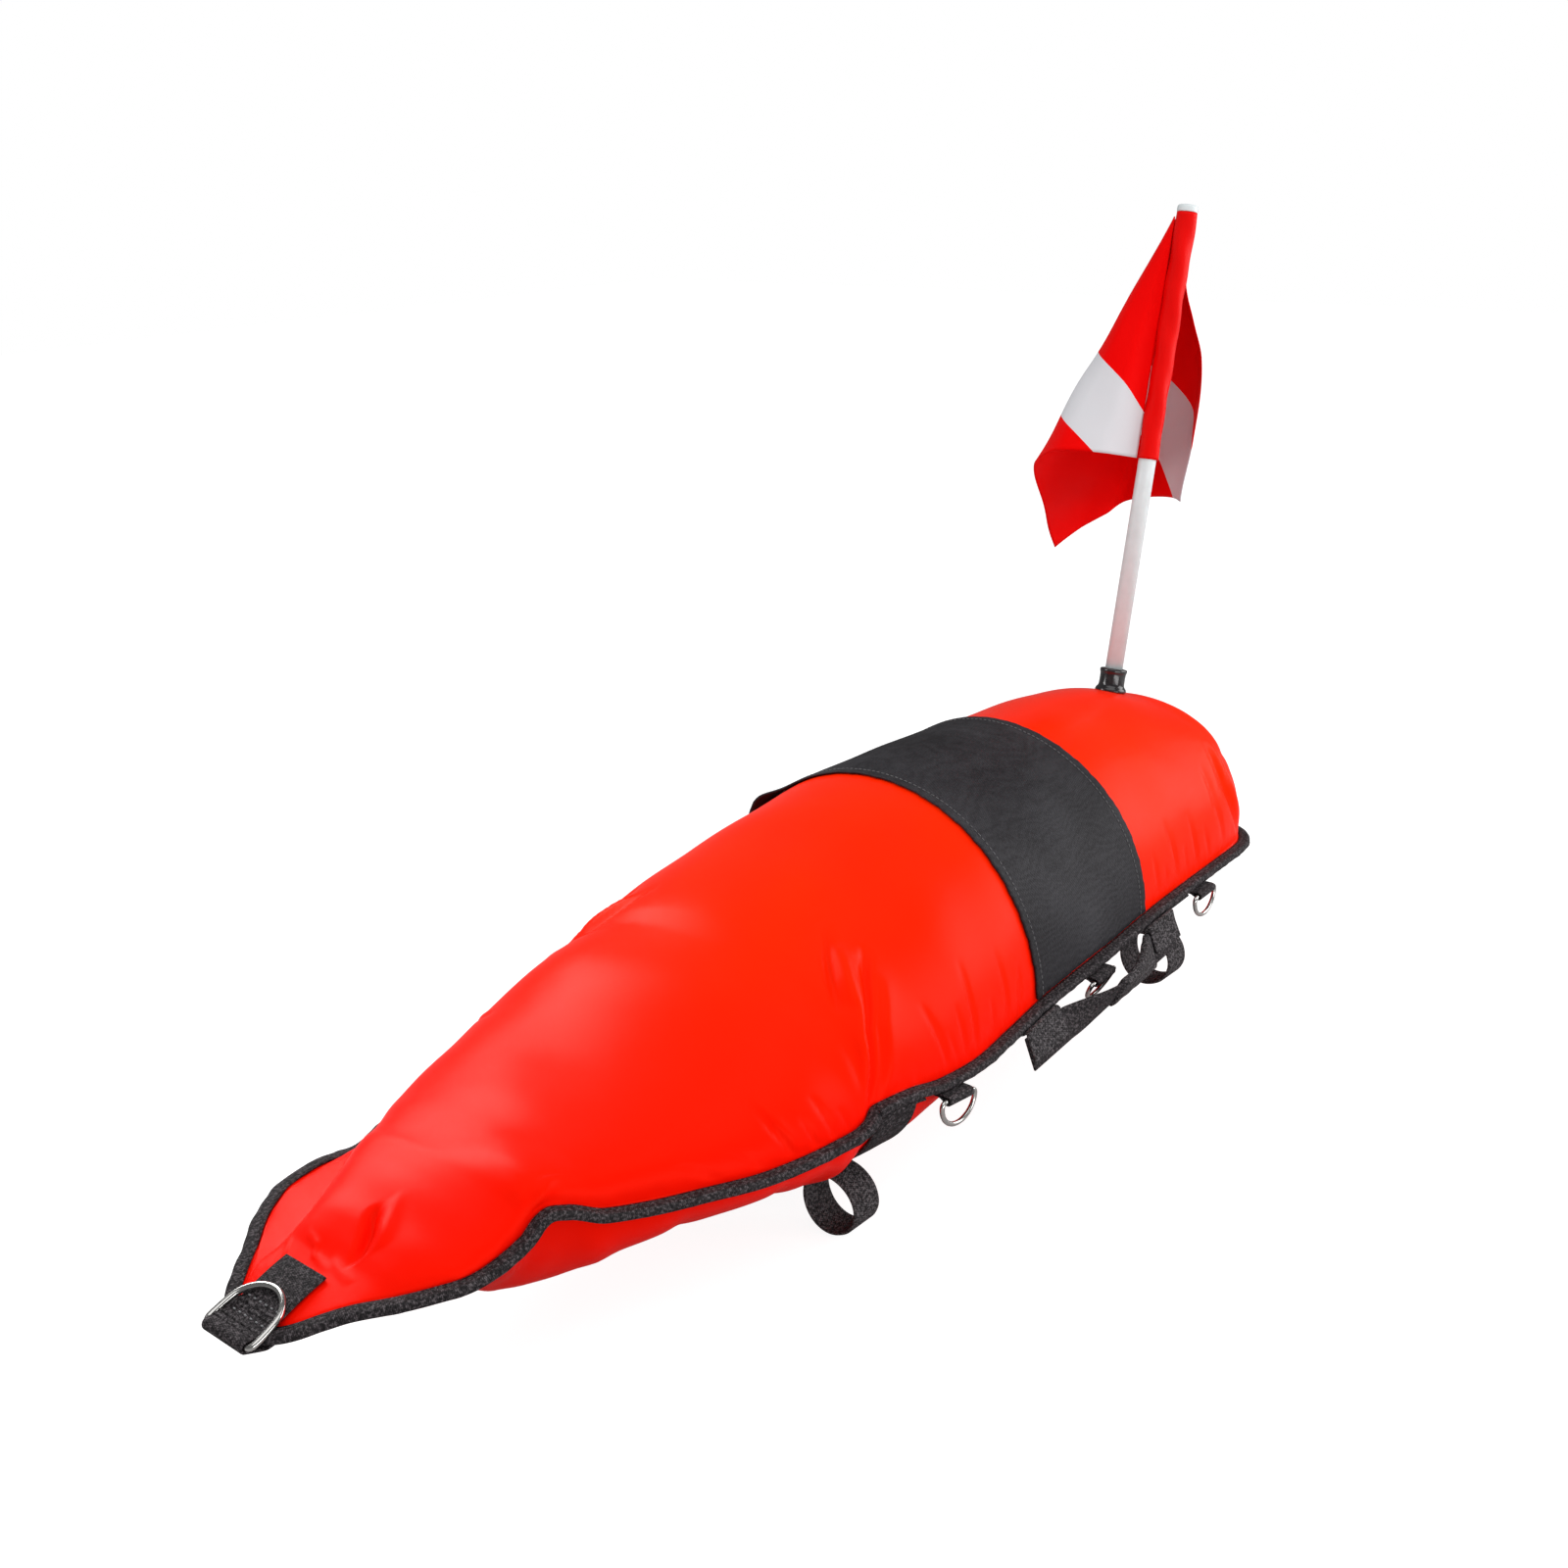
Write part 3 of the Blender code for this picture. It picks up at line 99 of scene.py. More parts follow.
world = bpy.data.worlds.new("white surround")
bpy.context.scene.world = world
world.use_nodes = True
sky = world.node_tree
sky.nodes.clear()
ways = sky.nodes.new("ShaderNodeLightPath").outputs
seen = sum_of(sky, "MAXIMUM", ways["Is Camera Ray"], ways["Is Transmission Ray"])
unseen = sum_of(sky, "MULTIPLY_ADD", ways["Is Glossy Ray"], MIRRORED_SKY - SKY_LEVEL, SKY_LEVEL)
level = sky.nodes.new("ShaderNodeMix")
level.inputs[3].default_value = SURROUND
sky.links.new(unseen, level.inputs[2])
sky.links.new(seen, level.inputs[0])
glow = sky.nodes.new("ShaderNodeBackground")
glow.inputs["Color"].default_value = (1.0, 1.0, 1.0, 1.0)
sky.links.new(level.outputs[0], glow.inputs["Strength"])
sky_out = sky.nodes.new("ShaderNodeOutputWorld")
sky.links.new(glow.outputs[0], sky_out.inputs["Surface"])


def softbox(name, place, aim, width, height, watts):
    """A rectangular lamp at a place, turned to face a point on the float."""
    lamp = bpy.data.lights.new(name, "AREA")
    lamp.shape = "RECTANGLE"
    lamp.size, lamp.size_y, lamp.energy = width, height, watts
    made = bpy.data.objects.new(name, lamp)
    made.location = place
    made.rotation_euler = (Vector(aim) - Vector(place)).to_track_quat("-Z", "Y").to_euler()
    made.visible_camera = False
    bpy.context.scene.collection.objects.link(made)


softbox("top softbox", (-0.4, -0.6, 2.4), (0.0, 0.0, 0.2), 2.6, 2.2, 20.0)
softbox("tail softbox", (1.25, -0.95, 0.65), (0.1, -0.1, 0.18), 1.3, 0.9, 12.0)
softbox("low softbox", (-0.45, -1.7, 0.22), (-0.05, -0.1, 0.08), 1.6, 0.4, 9.0)
softbox("nose softbox", (-0.25, 0.50, 0.50), (-0.38, 0.0, 0.14), 0.42, 0.30, 2.6)

floor_mesh = bpy.data.meshes.new("studio floor")
floor_corners = [(x * FLOOR_HALF, y * FLOOR_HALF, 0) for x, y in ((-1, -1), (1, -1), (1, 1), (-1, 1))]
floor_mesh.from_pydata(floor_corners, [], [(0, 1, 2, 3)])
floor = bpy.data.objects.new("studio floor", floor_mesh)
floor.location = (0.0, 0.0, -FLOOR_DROP)
bpy.context.scene.collection.objects.link(floor)
floor_paint, paint, base = new_finish(
    "pale floor", (FLOOR_SHADE,) * 3, Roughness=0.9, Specular_IOR_Level=0.1, Emission_Color=(1.0,) * 4)
floor_ways = paint.nodes.new("ShaderNodeLightPath").outputs
floor_glow = sum_of(paint, "MULTIPLY", floor_ways["Is Camera Ray"], FLOOR_GLOW)
paint.links.new(floor_glow, base.inputs["Emission Strength"])
floor_mesh.materials.append(floor_paint)


# The cover's form: two cut panels of coated nylon, sewn together on a flange all round, and blown
# out by the bladder. Each line along the float is a smooth curve through shares of its length.
LENGTH = 1.0
SEAM_HALF_WIDTH = 0.1555
CROWN_HEIGHT = 0.142
KEEL_DEPTH = 0.076
SEAM_WAVE = 0.020
COVER_THICKNESS = 0.0012
FLANGE_WIDTH = 0.0090
SEWN_GAP = 0.0010
LAYER_BASE = SEWN_GAP / 2 + COVER_THICKNESS
SMALLEST = 1e-9


def unit(vectors):
    """Each vector divided by its own length."""
    return vectors / np.maximum(np.linalg.norm(vectors, axis=-1, keepdims=True), SMALLEST)


def run_along(line):
    """Distance travelled along a line of places, starting at zero."""
    return np.concatenate([[0.0], np.cumsum(np.linalg.norm(np.diff(line, axis=0), axis=1))])


def spots_on(line, spots, run=None):
    """Places, or directions, at these distances along a line."""
    run = run_along(line) if run is None else run
    return np.stack([np.interp(spots, run, line[:, k]) for k in range(line.shape[1])], axis=-1)


def line_through(*points):
    """A cubic through (place, value) pairs, with slopes limited so that it never overshoots."""
    places, values = np.array(points, float).T
    steps = np.diff(places)
    slopes = np.diff(values) / steps
    before, after = 2 * steps[1:] + steps[:-1], steps[1:] + 2 * steps[:-1]
    same_way = slopes[:-1] * slopes[1:] > 0
    left = np.where(same_way, slopes[:-1], 1.0)
    middle = (before + after) / (before / left + after / np.where(same_way, slopes[1:], 1.0))
    tangents = np.concatenate([slopes[:1], np.where(same_way, middle, 0.0), slopes[-1:]])

    def value(x):
        """The curve's value at a place, or at an array of places."""
        i = np.clip(np.searchsorted(places, x) - 1, 0, len(steps) - 1)
        t = (x - places[i]) / steps[i]
        rise = values[i] * (1 + 2 * t) * (1 - t) ** 2 + values[i + 1] * t * t * (3 - 2 * t)
        bend = tangents[i] * t * (1 - t) ** 2 + tangents[i + 1] * t * t * (t - 1)
        return rise + steps[i] * bend

    return value


plan_line = line_through(
    (0.013, 0.0), (0.0138, 0.05), (0.016, 0.09), (0.022, 0.145), (0.035, 0.215), (0.050, 0.29),
    (0.070, 0.405), (0.085, 0.47), (0.100, 0.518), (0.120, 0.54), (0.148, 0.55), (0.197, 0.655),
    (0.247, 0.79), (0.296, 0.90), (0.345, 0.965), (0.375, 0.975), (0.386, 0.955), (0.395, 0.97),
    (0.435, 0.992), (0.493, 1.0), (0.542, 0.968), (0.592, 0.936), (0.641, 0.92), (0.740, 0.89),
    (0.838, 0.852), (0.900, 0.83), (0.940, 0.80), (0.965, 0.73), (0.978, 0.62), (0.985, 0.47),
    (0.989, 0.22), (0.990, 0.0),
)
crown_line = line_through(
    (0.013, -0.090), (0.050, -0.005), (0.085, 0.03), (0.099, 0.05), (0.125, 0.135),
    (0.148, 0.19), (0.197, 0.222), (0.247, 0.282), (0.296, 0.375), (0.345, 0.52),
    (0.385, 0.61), (0.400, 0.675), (0.444, 0.79), (0.493, 0.874), (0.542, 0.95), (0.592, 1.0),
    (0.650, 1.008), (0.740, 0.995), (0.838, 0.972), (0.888, 0.944), (0.930, 0.88), (0.955, 0.82),
    (0.973, 0.735), (0.983, 0.62), (0.9885, 0.40), (0.990, 0.018),
)
keel_line = line_through(
    (0.013, 0.205), (0.050, 0.105), (0.085, 0.10), (0.110, 0.13), (0.130, 0.30), (0.147, 0.70),
    (0.160, 0.90), (0.175, 0.92), (0.220, 0.84), (0.260, 0.78), (0.300, 0.78), (0.345, 0.93),
    (0.375, 1.07), (0.435, 1.07), (0.457, 0.85), (0.478, 0.70), (0.497, 0.64), (0.775, 0.64),
    (0.790, 0.59), (0.830, 0.57), (0.855, 0.56), (0.900, 0.54), (0.945, 0.46), (0.970, 0.36),
    (0.982, 0.24), (0.988, 0.11), (0.990, 0.0),
)
seam_line = line_through(
    (0.013, -0.72), (0.050, -0.22), (0.099, 0.0), (0.125, 0.0), (0.152, -0.24), (0.170, -0.35),
    (0.220, -0.36), (0.247, -0.34), (0.296, -0.27), (0.345, -0.18), (0.395, -0.08), (0.444, -0.20),
    (0.493, -0.33), (0.542, -0.28), (0.592, -0.15), (0.690, 0.05), (0.789, 0.30), (0.888, 0.30),
    (0.937, 0.20), (0.990, 0.05),
)
near_slip_line = line_through(
    (0.013, 0.0), (0.099, 0.04), (0.125, 0.24), (0.140, 0.57), (0.152, 1.11), (0.160, 1.29),
    (0.170, 1.20), (0.192, 0.71), (0.220, 0.49), (0.247, 0.38), (0.296, 0.12), (0.345, 0.03),
    (0.366, -0.05), (0.396, 0.30), (0.420, 0.27), (0.455, 0.03), (0.490, 0.0), (0.990, 0.0),
)
crown_power = line_through(
    (0.013, 1.0), (0.110, 0.85), (0.150, 0.70), (0.220, 0.70), (0.300, 0.88), (0.400, 1.0), (0.880, 1.0),
    (0.950, 0.72), (0.975, 0.62), (0.990, 0.60),
)
# just behind the flat nose the crown stands up in a dome, with a flat margin towards the far seam
dome_line = line_through(
    (0.013, 0.0), (0.048, 0.0), (0.062, 0.012), (0.076, 0.058), (0.092, 0.092), (0.110, 0.082),
    (0.130, 0.052), (0.150, 0.038), (0.180, 0.042), (0.205, 0.042), (0.235, 0.030), (0.270, 0.012),
    (0.310, 0.0), (0.990, 0.0),
)
margin_line = line_through(
    (0.013, 160.0), (0.040, 150.0), (0.060, 130.0), (0.085, 124.0), (0.110, 130.0), (0.135, 141.0),
    (0.160, 152.0), (0.200, 166.0), (0.990, 175.0),
)
margin_share = line_through(
    (0.013, 0.0), (0.045, 0.6), (0.070, 1.0), (0.120, 1.0), (0.160, 0.5), (0.200, 0.0), (0.990, 0.0),
)
MARGIN_ROUNDNESS, NEAR_STEP_FADE = 2.6, 2.4
FRONT_KEEL, FRONT_KEEL_AT, FRONT_KEEL_SPREAD = 0.12, 0.118, 0.018
NOSE_TIP, TAIL_TIP = 0.013 * LENGTH, 0.990 * LENGTH


def half_width(x):
    """Half the distance between the seams."""
    return SEAM_HALF_WIDTH * plan_line(x / LENGTH)


def seam_height(x, side=-1):
    """Height of the near seam, side -1, or of the far one, side 1."""
    slip = near_slip_line(x / LENGTH) if side < 0 else 0.0
    return SEAM_WAVE * (seam_line(x / LENGTH) + slip)


fine = NOSE_TIP + (TAIL_TIP - NOSE_TIP) * (1 - np.cos(np.linspace(0, math.pi, 6001))) / 2
fine_width = half_width(fine)
fine_run = run_along(np.stack([fine, fine_width], axis=1))
fine_steep = np.hypot(1.0, np.gradient(seam_height(fine), fine))
fine_normal = unit(np.stack([-np.gradient(fine_width), -np.gradient(fine)], axis=1))
fine_normal[0], fine_normal[-1] = (-1.0, 0.0), (1.0, 0.0)


def places_between(low, high, count):
    """Distances along the float, evenly spaced by the length of the seam between them."""
    ends = np.interp((low, high), fine, fine_run)
    return np.interp(np.linspace(*ends, count), fine_run, fine)


def beside_seam(x, outward, height, side=-1):
    """Points beside a seam: outward from it in plan, and above or below it."""
    x, outward, height = np.broadcast_arrays(x, outward, height)
    way = unit(spots_on(fine_normal, x, fine))
    return FLOAT_AT + np.stack([
        x + way[..., 0] * outward,
        side * (half_width(x) - way[..., 1] * outward),
        seam_height(x, side) + height * np.interp(x, fine, fine_steep),
    ], axis=-1)


def skin_points(x, turn, under):
    """Outer face of the cover: across it, a power of the sine stands on a line from the near seam,
    at 0, to the far one, at pi. Beyond the margin line's angle the nose lies flat.
    """
    share_along = x / LENGTH
    fade = 1.0 if under else NEAR_STEP_FADE
    near_share = ((1 + np.cos(turn)) / 2) ** fade
    seam = seam_height(x) * near_share + seam_height(x, 1) * (1 - near_share)
    base_rise = LAYER_BASE * np.interp(x, fine, fine_steep)
    middle = seam_height(x) * 0.5 ** fade + seam_height(x, 1) * (1 - 0.5 ** fade)
    arch = np.clip(np.sin(turn), 0.0, 1.0)
    if under:
        keel = keel_line(share_along) + FRONT_KEEL * np.exp(
            -(((share_along - FRONT_KEEL_AT) / FRONT_KEEL_SPREAD) ** 2))
        z = seam - base_rise - np.maximum(KEEL_DEPTH * keel + middle, 0.0) * arch
    else:
        rise = np.maximum(CROWN_HEIGHT * (crown_line(share_along) + dome_line(share_along)) - middle, 0.0)
        past = (turn - math.pi / 2) / (np.radians(margin_line(share_along)) - math.pi / 2)
        held = np.sqrt(1 - np.clip(past, 0.0, 1.0) ** MARGIN_ROUNDNESS)
        margin = np.clip(margin_share(share_along), 0.0, 1.0) * (turn > math.pi / 2)
        arch = margin * held + (1 - margin) * arch
        z = seam + base_rise + rise * arch ** crown_power(share_along)
    y = -half_width(x) * np.cos(turn)
    return FLOAT_AT + np.stack([x + 0 * turn, y, z], axis=-1)


FOLD_TAPER = 0.6


def grid_normals(points):
    """Unit directions square to a grid of points."""
    return unit(np.cross(np.gradient(points, axis=0), np.gradient(points, axis=1)))


def crease(x, turn, places, depth, width):
    """A fold along a line of (distance, degrees) places: its depth falls off with the square of the
    gap from the line, and tapers to nothing at both ends. A positive depth is a ridge.
    """
    across = turn * SEAM_HALF_WIDTH
    total = np.zeros(np.broadcast(x, turn).shape)
    spots = [(at, math.radians(degrees) * SEAM_HALF_WIDTH) for at, degrees in places]
    count = len(spots) - 1
    for i, (start, end) in enumerate(zip(spots, spots[1:])):
        run = np.subtract(end, start)
        along = ((x - start[0]) * run[0] + (across - start[1]) * run[1]) / (run @ run)
        held = np.clip(along, 0.0, 1.0)
        gap = np.hypot(x - start[0] - held * run[0], across - start[1] - held * run[1])
        fade = np.sin(math.pi * (i + held) / count) ** FOLD_TAPER
        total = np.maximum(total, fade * np.exp(-((gap / width) ** 2)))
    return depth * total


# each fold is its line of places, its depth and its width
TOP_CREASES = (
    (((0.383, 1), (0.394, 12), (0.405, 27), (0.428, 42), (0.444, 49)), -0.0072, 0.0034),
    (((0.392, 1), (0.403, 12), (0.414, 26), (0.436, 40)), -0.0042, 0.0052),
    (((0.376, 1), (0.386, 12), (0.397, 27), (0.416, 43), (0.432, 54)), 0.0038, 0.0060),
    (((0.396, 1), (0.408, 13), (0.420, 27), (0.440, 40)), 0.0016, 0.0070),
    (((0.394, 38), (0.404, 46), (0.416, 53), (0.436, 62)), -0.0038, 0.0036),
    (((0.404, 36), (0.414, 45), (0.428, 54)), 0.0034, 0.0045),
    (((0.364, 162), (0.366, 152), (0.369, 144)), 0.0010, 0.0050),
    (((0.303, 38), (0.306, 20), (0.313, 3)), -0.0022, 0.0026),
    (((0.308, 34), (0.312, 18), (0.319, 4)), 0.0010, 0.0034),
    (((0.327, 19), (0.330, 9), (0.333, 1)), -0.0016, 0.0020),
    (((0.340, 24), (0.345, 11), (0.349, 1)), -0.0018, 0.0024),
    (((0.356, 14), (0.360, 7), (0.363, 1)), -0.0012, 0.0018),
    (((0.275, 20), (0.283, 11), (0.291, 2)), -0.0012, 0.0030),
    (((0.242, 16), (0.252, 9), (0.259, 2)), -0.0010, 0.0030),
    (((0.455, 26), (0.462, 13), (0.466, 1)), -0.0018, 0.0028),
    (((0.471, 14), (0.475, 7), (0.478, 1)), -0.0010, 0.0018),
    (((0.486, 20), (0.487, 9), (0.488, 1)), -0.0013, 0.0022),
    (((0.506, 30), (0.503, 14), (0.500, 1)), -0.0019, 0.0026),
    (((0.527, 14), (0.527, 7), (0.527, 1)), -0.0011, 0.0018),
    (((0.547, 25), (0.547, 11), (0.547, 1)), -0.0015, 0.0024),
    (((0.569, 16), (0.566, 8), (0.564, 1)), -0.0011, 0.0020),
    (((0.155, 3), (0.160, 12), (0.168, 26)), 0.0022, 0.0060),
    (((0.098, 86), (0.091, 81), (0.083, 76), (0.075, 71), (0.068, 66)), -0.0078, 0.0046),
    (((0.109, 82), (0.100, 76), (0.090, 69), (0.080, 62)), 0.0022, 0.0060),
    (((0.070, 112), (0.066, 97), (0.061, 95), (0.057, 75)), 0.0018, 0.0018),
    (((0.067, 124), (0.054, 119), (0.038, 124)), 0.0014, 0.0020),
    (((0.064, 82), (0.060, 66), (0.058, 50)), 0.0012, 0.0026),
    (((0.784, 18), (0.785, 8), (0.786, 1)), -0.0013, 0.0022),
    (((0.800, 12), (0.801, 6), (0.802, 1)), -0.0010, 0.0018),
    (((0.817, 26), (0.820, 12), (0.822, 1)), -0.0018, 0.0026),
    (((0.838, 14), (0.840, 7), (0.841, 1)), -0.0011, 0.0020),
    (((0.856, 24), (0.858, 11), (0.860, 1)), -0.0016, 0.0026),
    (((0.877, 16), (0.879, 8), (0.880, 1)), -0.0012, 0.0020),
    (((0.908, 36), (0.906, 20), (0.911, 3)), -0.0018, 0.0034),
    (((0.958, 92), (0.956, 70), (0.960, 50), (0.962, 34)), 0.0040, 0.0100),
    (((0.972, 84), (0.972, 60), (0.974, 40)), -0.0030, 0.0070),
    (((0.934, 42), (0.927, 24), (0.938, 10), (0.950, 1)), -0.0034, 0.0034),
    (((0.944, 44), (0.938, 26), (0.949, 11), (0.960, 2)), 0.0022, 0.0046),
    (((0.968, 46), (0.962, 28), (0.968, 8)), -0.0024, 0.0036),
)
BELLY_CREASES = (
    (((0.150, 6), (0.152, 30), (0.158, 70)), -0.0025, 0.007),
    (((0.185, 6), (0.195, 30), (0.215, 60)), 0.0022, 0.010),
    (((0.240, 6), (0.250, 30), (0.262, 60)), -0.0016, 0.008),
    (((0.310, 4), (0.318, 30), (0.330, 60)), -0.0016, 0.008),
    (((0.352, 4), (0.366, 24), (0.380, 50)), 0.0016, 0.008),
    (((0.470, 4), (0.474, 30), (0.480, 60)), -0.0018, 0.007),
    (((0.870, 4), (0.874, 30), (0.880, 60)), -0.0014, 0.007),
    (((0.930, 6), (0.926, 40), (0.916, 80)), -0.0018, 0.007),
)
FAR_SHIFT, FAR_SHARE, PLAIN_NOSE = -0.012, 0.8, 0.2
PUCKER_WAVES = ((1.0, 330, 0.0, 1), (0.8, 517, 1.3, 2), (0.5, 811, 0.0, 1))
PUCKER_DEPTH, PUCKER_REACH, PUCKER_START, FAR_PUCKERS = 0.00022, 0.014, 0.003, 2.1
SWELL_DEPTH = 0.00055
NOSE_FADE, TAIL_FADE, SEAM_FADE = 0.05, 0.012, 0.006


def relief(x, turn, under):
    """How far the cloth stands off its smooth form: creases, puckers at the seams, slow swells."""
    depth = np.zeros(np.broadcast(x, turn).shape)
    for places, size, width in BELLY_CREASES if under else TOP_CREASES:
        depth += crease(x, turn, places, size, width)
        if places[0][0] > PLAIN_NOSE and max(degrees for _, degrees in places) < 90:
            mirrored = [(at + FAR_SHIFT, 180 - degrees) for at, degrees in places]
            depth += FAR_SHARE * crease(x, turn, mirrored, size, width)
    from_seam = np.minimum(turn, math.pi - turn) * SEAM_HALF_WIDTH
    side = np.where(turn < math.pi / 2, 0.0, FAR_PUCKERS)
    pucker = sum(size * np.sin(x * rate + shift + times * side) for size, rate, shift, times in PUCKER_WAVES)
    near_seam = np.exp(-((from_seam / PUCKER_REACH) ** 2)) * (1 - np.exp(-from_seam / PUCKER_START))
    depth += PUCKER_DEPTH * pucker * near_seam
    swell = np.sin(x * 41 + turn * 2.3) * np.sin(turn * 3.1 + x * 17 + 0.7) + 0.6 * np.sin(x * 73 - turn * 5)
    depth += SWELL_DEPTH * swell
    ends = np.clip((x - NOSE_TIP) / NOSE_FADE, 0.0, 1.0) * np.clip((TAIL_TIP - x) / TAIL_FADE, 0.0, 1.0)
    return depth * ends * np.clip(from_seam / SEAM_FADE, 0.0, 1.0)


def cover_face(x, turn, under=False, lift=0.0, creased=1.0):
    """The creased outer face of the cover on a grid, or a cloth that lies this far off it."""
    x, turn = np.meshgrid(x, turn, indexing="ij")
    points = skin_points(x, turn, under)
    outward = grid_normals(points) * (-1.0 if under else 1.0)
    return points + (creased * relief(x, turn, under) + lift)[..., None] * outward


def new_piece(name, vertices, faces, finish):
    """A smoothly shaded object with one finish."""
    mesh = bpy.data.meshes.new(name)
    mesh.from_pydata(vertices.tolist(), [], faces)
    mesh.shade_smooth()
    mesh.materials.append(finish)
    made = bpy.data.objects.new(name, mesh)
    bpy.context.scene.collection.objects.link(made)
    return made


def skin(name, points, finish, uv=None, wrap_rows=False, wrap_columns=False, caps=False, inside=None):
    """A mesh over a grid of points, its faces turned away from the place inside it. Without a UV
    grid, UV is the distance along the grid's middle lines, in metres.
    """
    rows, columns = points.shape[:2]
    i, j = np.meshgrid(
        np.arange(rows if wrap_rows else rows - 1),
        np.arange(columns if wrap_columns else columns - 1), indexing="ij",
    )
    i, j = i.ravel(), j.ravel()
    after, beside = (i + 1) % rows, (j + 1) % columns
    faces = np.stack([
        i * columns + j, after * columns + j, after * columns + beside, i * columns + beside,
    ], 1)
    if uv is None:
        u, v = run_along(points[:, columns // 2]), run_along(points[rows // 2])
        u = np.append(u, 2 * u[-1] - u[-2])
        v = np.append(v, 2 * v[-1] - v[-2])
        uv = np.stack(np.meshgrid(u, v, indexing="ij"), axis=-1)
    corners = np.stack([uv[i, j], uv[i + 1, j], uv[i + 1, j + 1], uv[i, j + 1]], 1)
    vertices = points.reshape(-1, 3)
    inside = vertices.mean(axis=0) if inside is None else np.asarray(inside)
    spots = vertices[faces]
    facing = np.cross(spots[:, 2] - spots[:, 0], spots[:, 3] - spots[:, 1])
    flipped = (facing * (spots.mean(axis=1) - inside)).sum() < 0
    if flipped:
        faces, corners = faces[:, ::-1], corners[:, ::-1]
    polygons = faces.tolist()
    corner_uv = corners.reshape(-1, 2)
    if caps:
        first, last = list(range(columns)), list(range((rows - 1) * columns, rows * columns))
        start, end = (first[::-1], last) if flipped else (first, last[::-1])
        polygons += [start, end]
        corner_uv = np.concatenate([
            corner_uv, uv[0, np.array(start)], uv[rows - 1, np.array(end) % columns],
        ])
    made = new_piece(name, vertices, polygons, finish)
    made.data.uv_layers.new(name="UVMap").data.foreach_set("uv", corner_uv.ravel())
    return made


def walled(made, thickness, outward=False):
    """Gives a skin its thickness, inwards or outwards from its outer face."""
    wall = made.modifiers.new("wall", "SOLIDIFY")
    wall.thickness = thickness
    wall.offset = 1.0 if outward else -1.0
    wall.use_even_offset = False
    return made


def belongs(made, body, slot, *nodes):
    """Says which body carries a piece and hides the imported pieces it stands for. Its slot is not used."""
    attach(made, body)
    if nodes:
        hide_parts(*nodes)
    return made


def group_with(name, inputs, outputs):
    """An empty shader node group with named number inputs and outputs."""
    made = bpy.data.node_groups.new(name, "ShaderNodeTree")
    for words, value in inputs:
        socket = made.interface.new_socket(words, in_out="INPUT", socket_type="NodeSocketFloat")
        socket.default_value = value
    for words in outputs:
        made.interface.new_socket(words, in_out="OUTPUT", socket_type="NodeSocketFloat")
    return made, made.nodes.new("NodeGroupInput"), made.nodes.new("NodeGroupOutput")


def uv_parts(tree):
    """The two distances of the piece's UV map, in metres."""
    where = tree.nodes.new("ShaderNodeUVMap")
    where.uv_map = "UVMap"
    parts = tree.nodes.new("ShaderNodeSeparateXYZ")
    tree.links.new(where.outputs[0], parts.inputs[0])
    return parts.outputs[0], parts.outputs[1]


def noise_in(tree, scale, detail=2.0, roughness=0.5):
    """Noise over the piece's own space: scale is its waves per metre, a number or an output."""
    noise = tree.nodes.new("ShaderNodeTexNoise")
    noise.inputs["Detail"].default_value = detail
    noise.inputs["Roughness"].default_value = roughness
    if isinstance(scale, (int, float)):
        noise.inputs["Scale"].default_value = scale
    else:
        tree.links.new(scale, noise.inputs["Scale"])
    where = tree.nodes.new("ShaderNodeTexCoord")
    tree.links.new(where.outputs["Object"], noise.inputs["Vector"])
    return noise.outputs["Fac"]


def mixed(tree, first, second, share, socket):
    """Sends first + share * (second - first), a mix of two colours, to a colour socket."""
    mix = tree.nodes.new("ShaderNodeMix")
    mix.data_type = "RGBA"
    mix.inputs[6].default_value = (*first, 1.0)
    mix.inputs[7].default_value = (*second, 1.0)
    tree.links.new(share, mix.inputs[0])
    tree.links.new(mix.outputs[2], socket)
    return mix


def bumped(tree, shader, height, distance, strength=1.0):
    """Tilts a finish's normals by a height from 0 to 1 that stands for this distance in metres."""
    bump = tree.nodes.new("ShaderNodeBump")
    bump.inputs["Distance"].default_value = distance
    bump.inputs["Strength"].default_value = strength
    tree.links.new(height, bump.inputs["Height"])
    tree.links.new(bump.outputs[0], shader.inputs["Normal"])


def run_group(tree, group, **values):
    """The outputs of a node group that runs in this tree, with its number inputs set."""
    node = tree.nodes.new("ShaderNodeGroup")
    node.node_tree = group
    for words, value in values.items():
        node.inputs[words].default_value = value
    return node.outputs


# Plain weave, shared by every cloth here: threads over and under each other, on the piece's own
# UV map in metres, with slow changes of shade as the dye and the light take it
weave, weave_in, weave_out = group_with(
    "plain weave", (("Spacing", 0.0006), ("Stretch", 1.0), ("Blotch", 0.03)), ("Threads", "Shade"),
)
weave_u, weave_v = uv_parts(weave)
thread_rate = sum_of(weave, "DIVIDE", math.pi, weave_in.outputs["Spacing"])
warp = sum_of(weave, "SINE", sum_of(weave, "MULTIPLY", weave_u, thread_rate))
weft_rate = sum_of(weave, "MULTIPLY", thread_rate, weave_in.outputs["Stretch"])
weft = sum_of(weave, "SINE", sum_of(weave, "MULTIPLY", weave_v, weft_rate))
crossing = sum_of(weave, "MULTIPLY_ADD", sum_of(weave, "MULTIPLY", warp, weft), 0.5, 0.5)
blotch = noise_in(weave, sum_of(weave, "DIVIDE", 1.0, weave_in.outputs["Blotch"]), detail=4.0)
weave.links.new(crossing, weave_out.inputs["Threads"])
weave.links.new(blotch, weave_out.inputs["Shade"])
THREAD_SHARE, CLOTH_BUMP = 0.35, 0.6


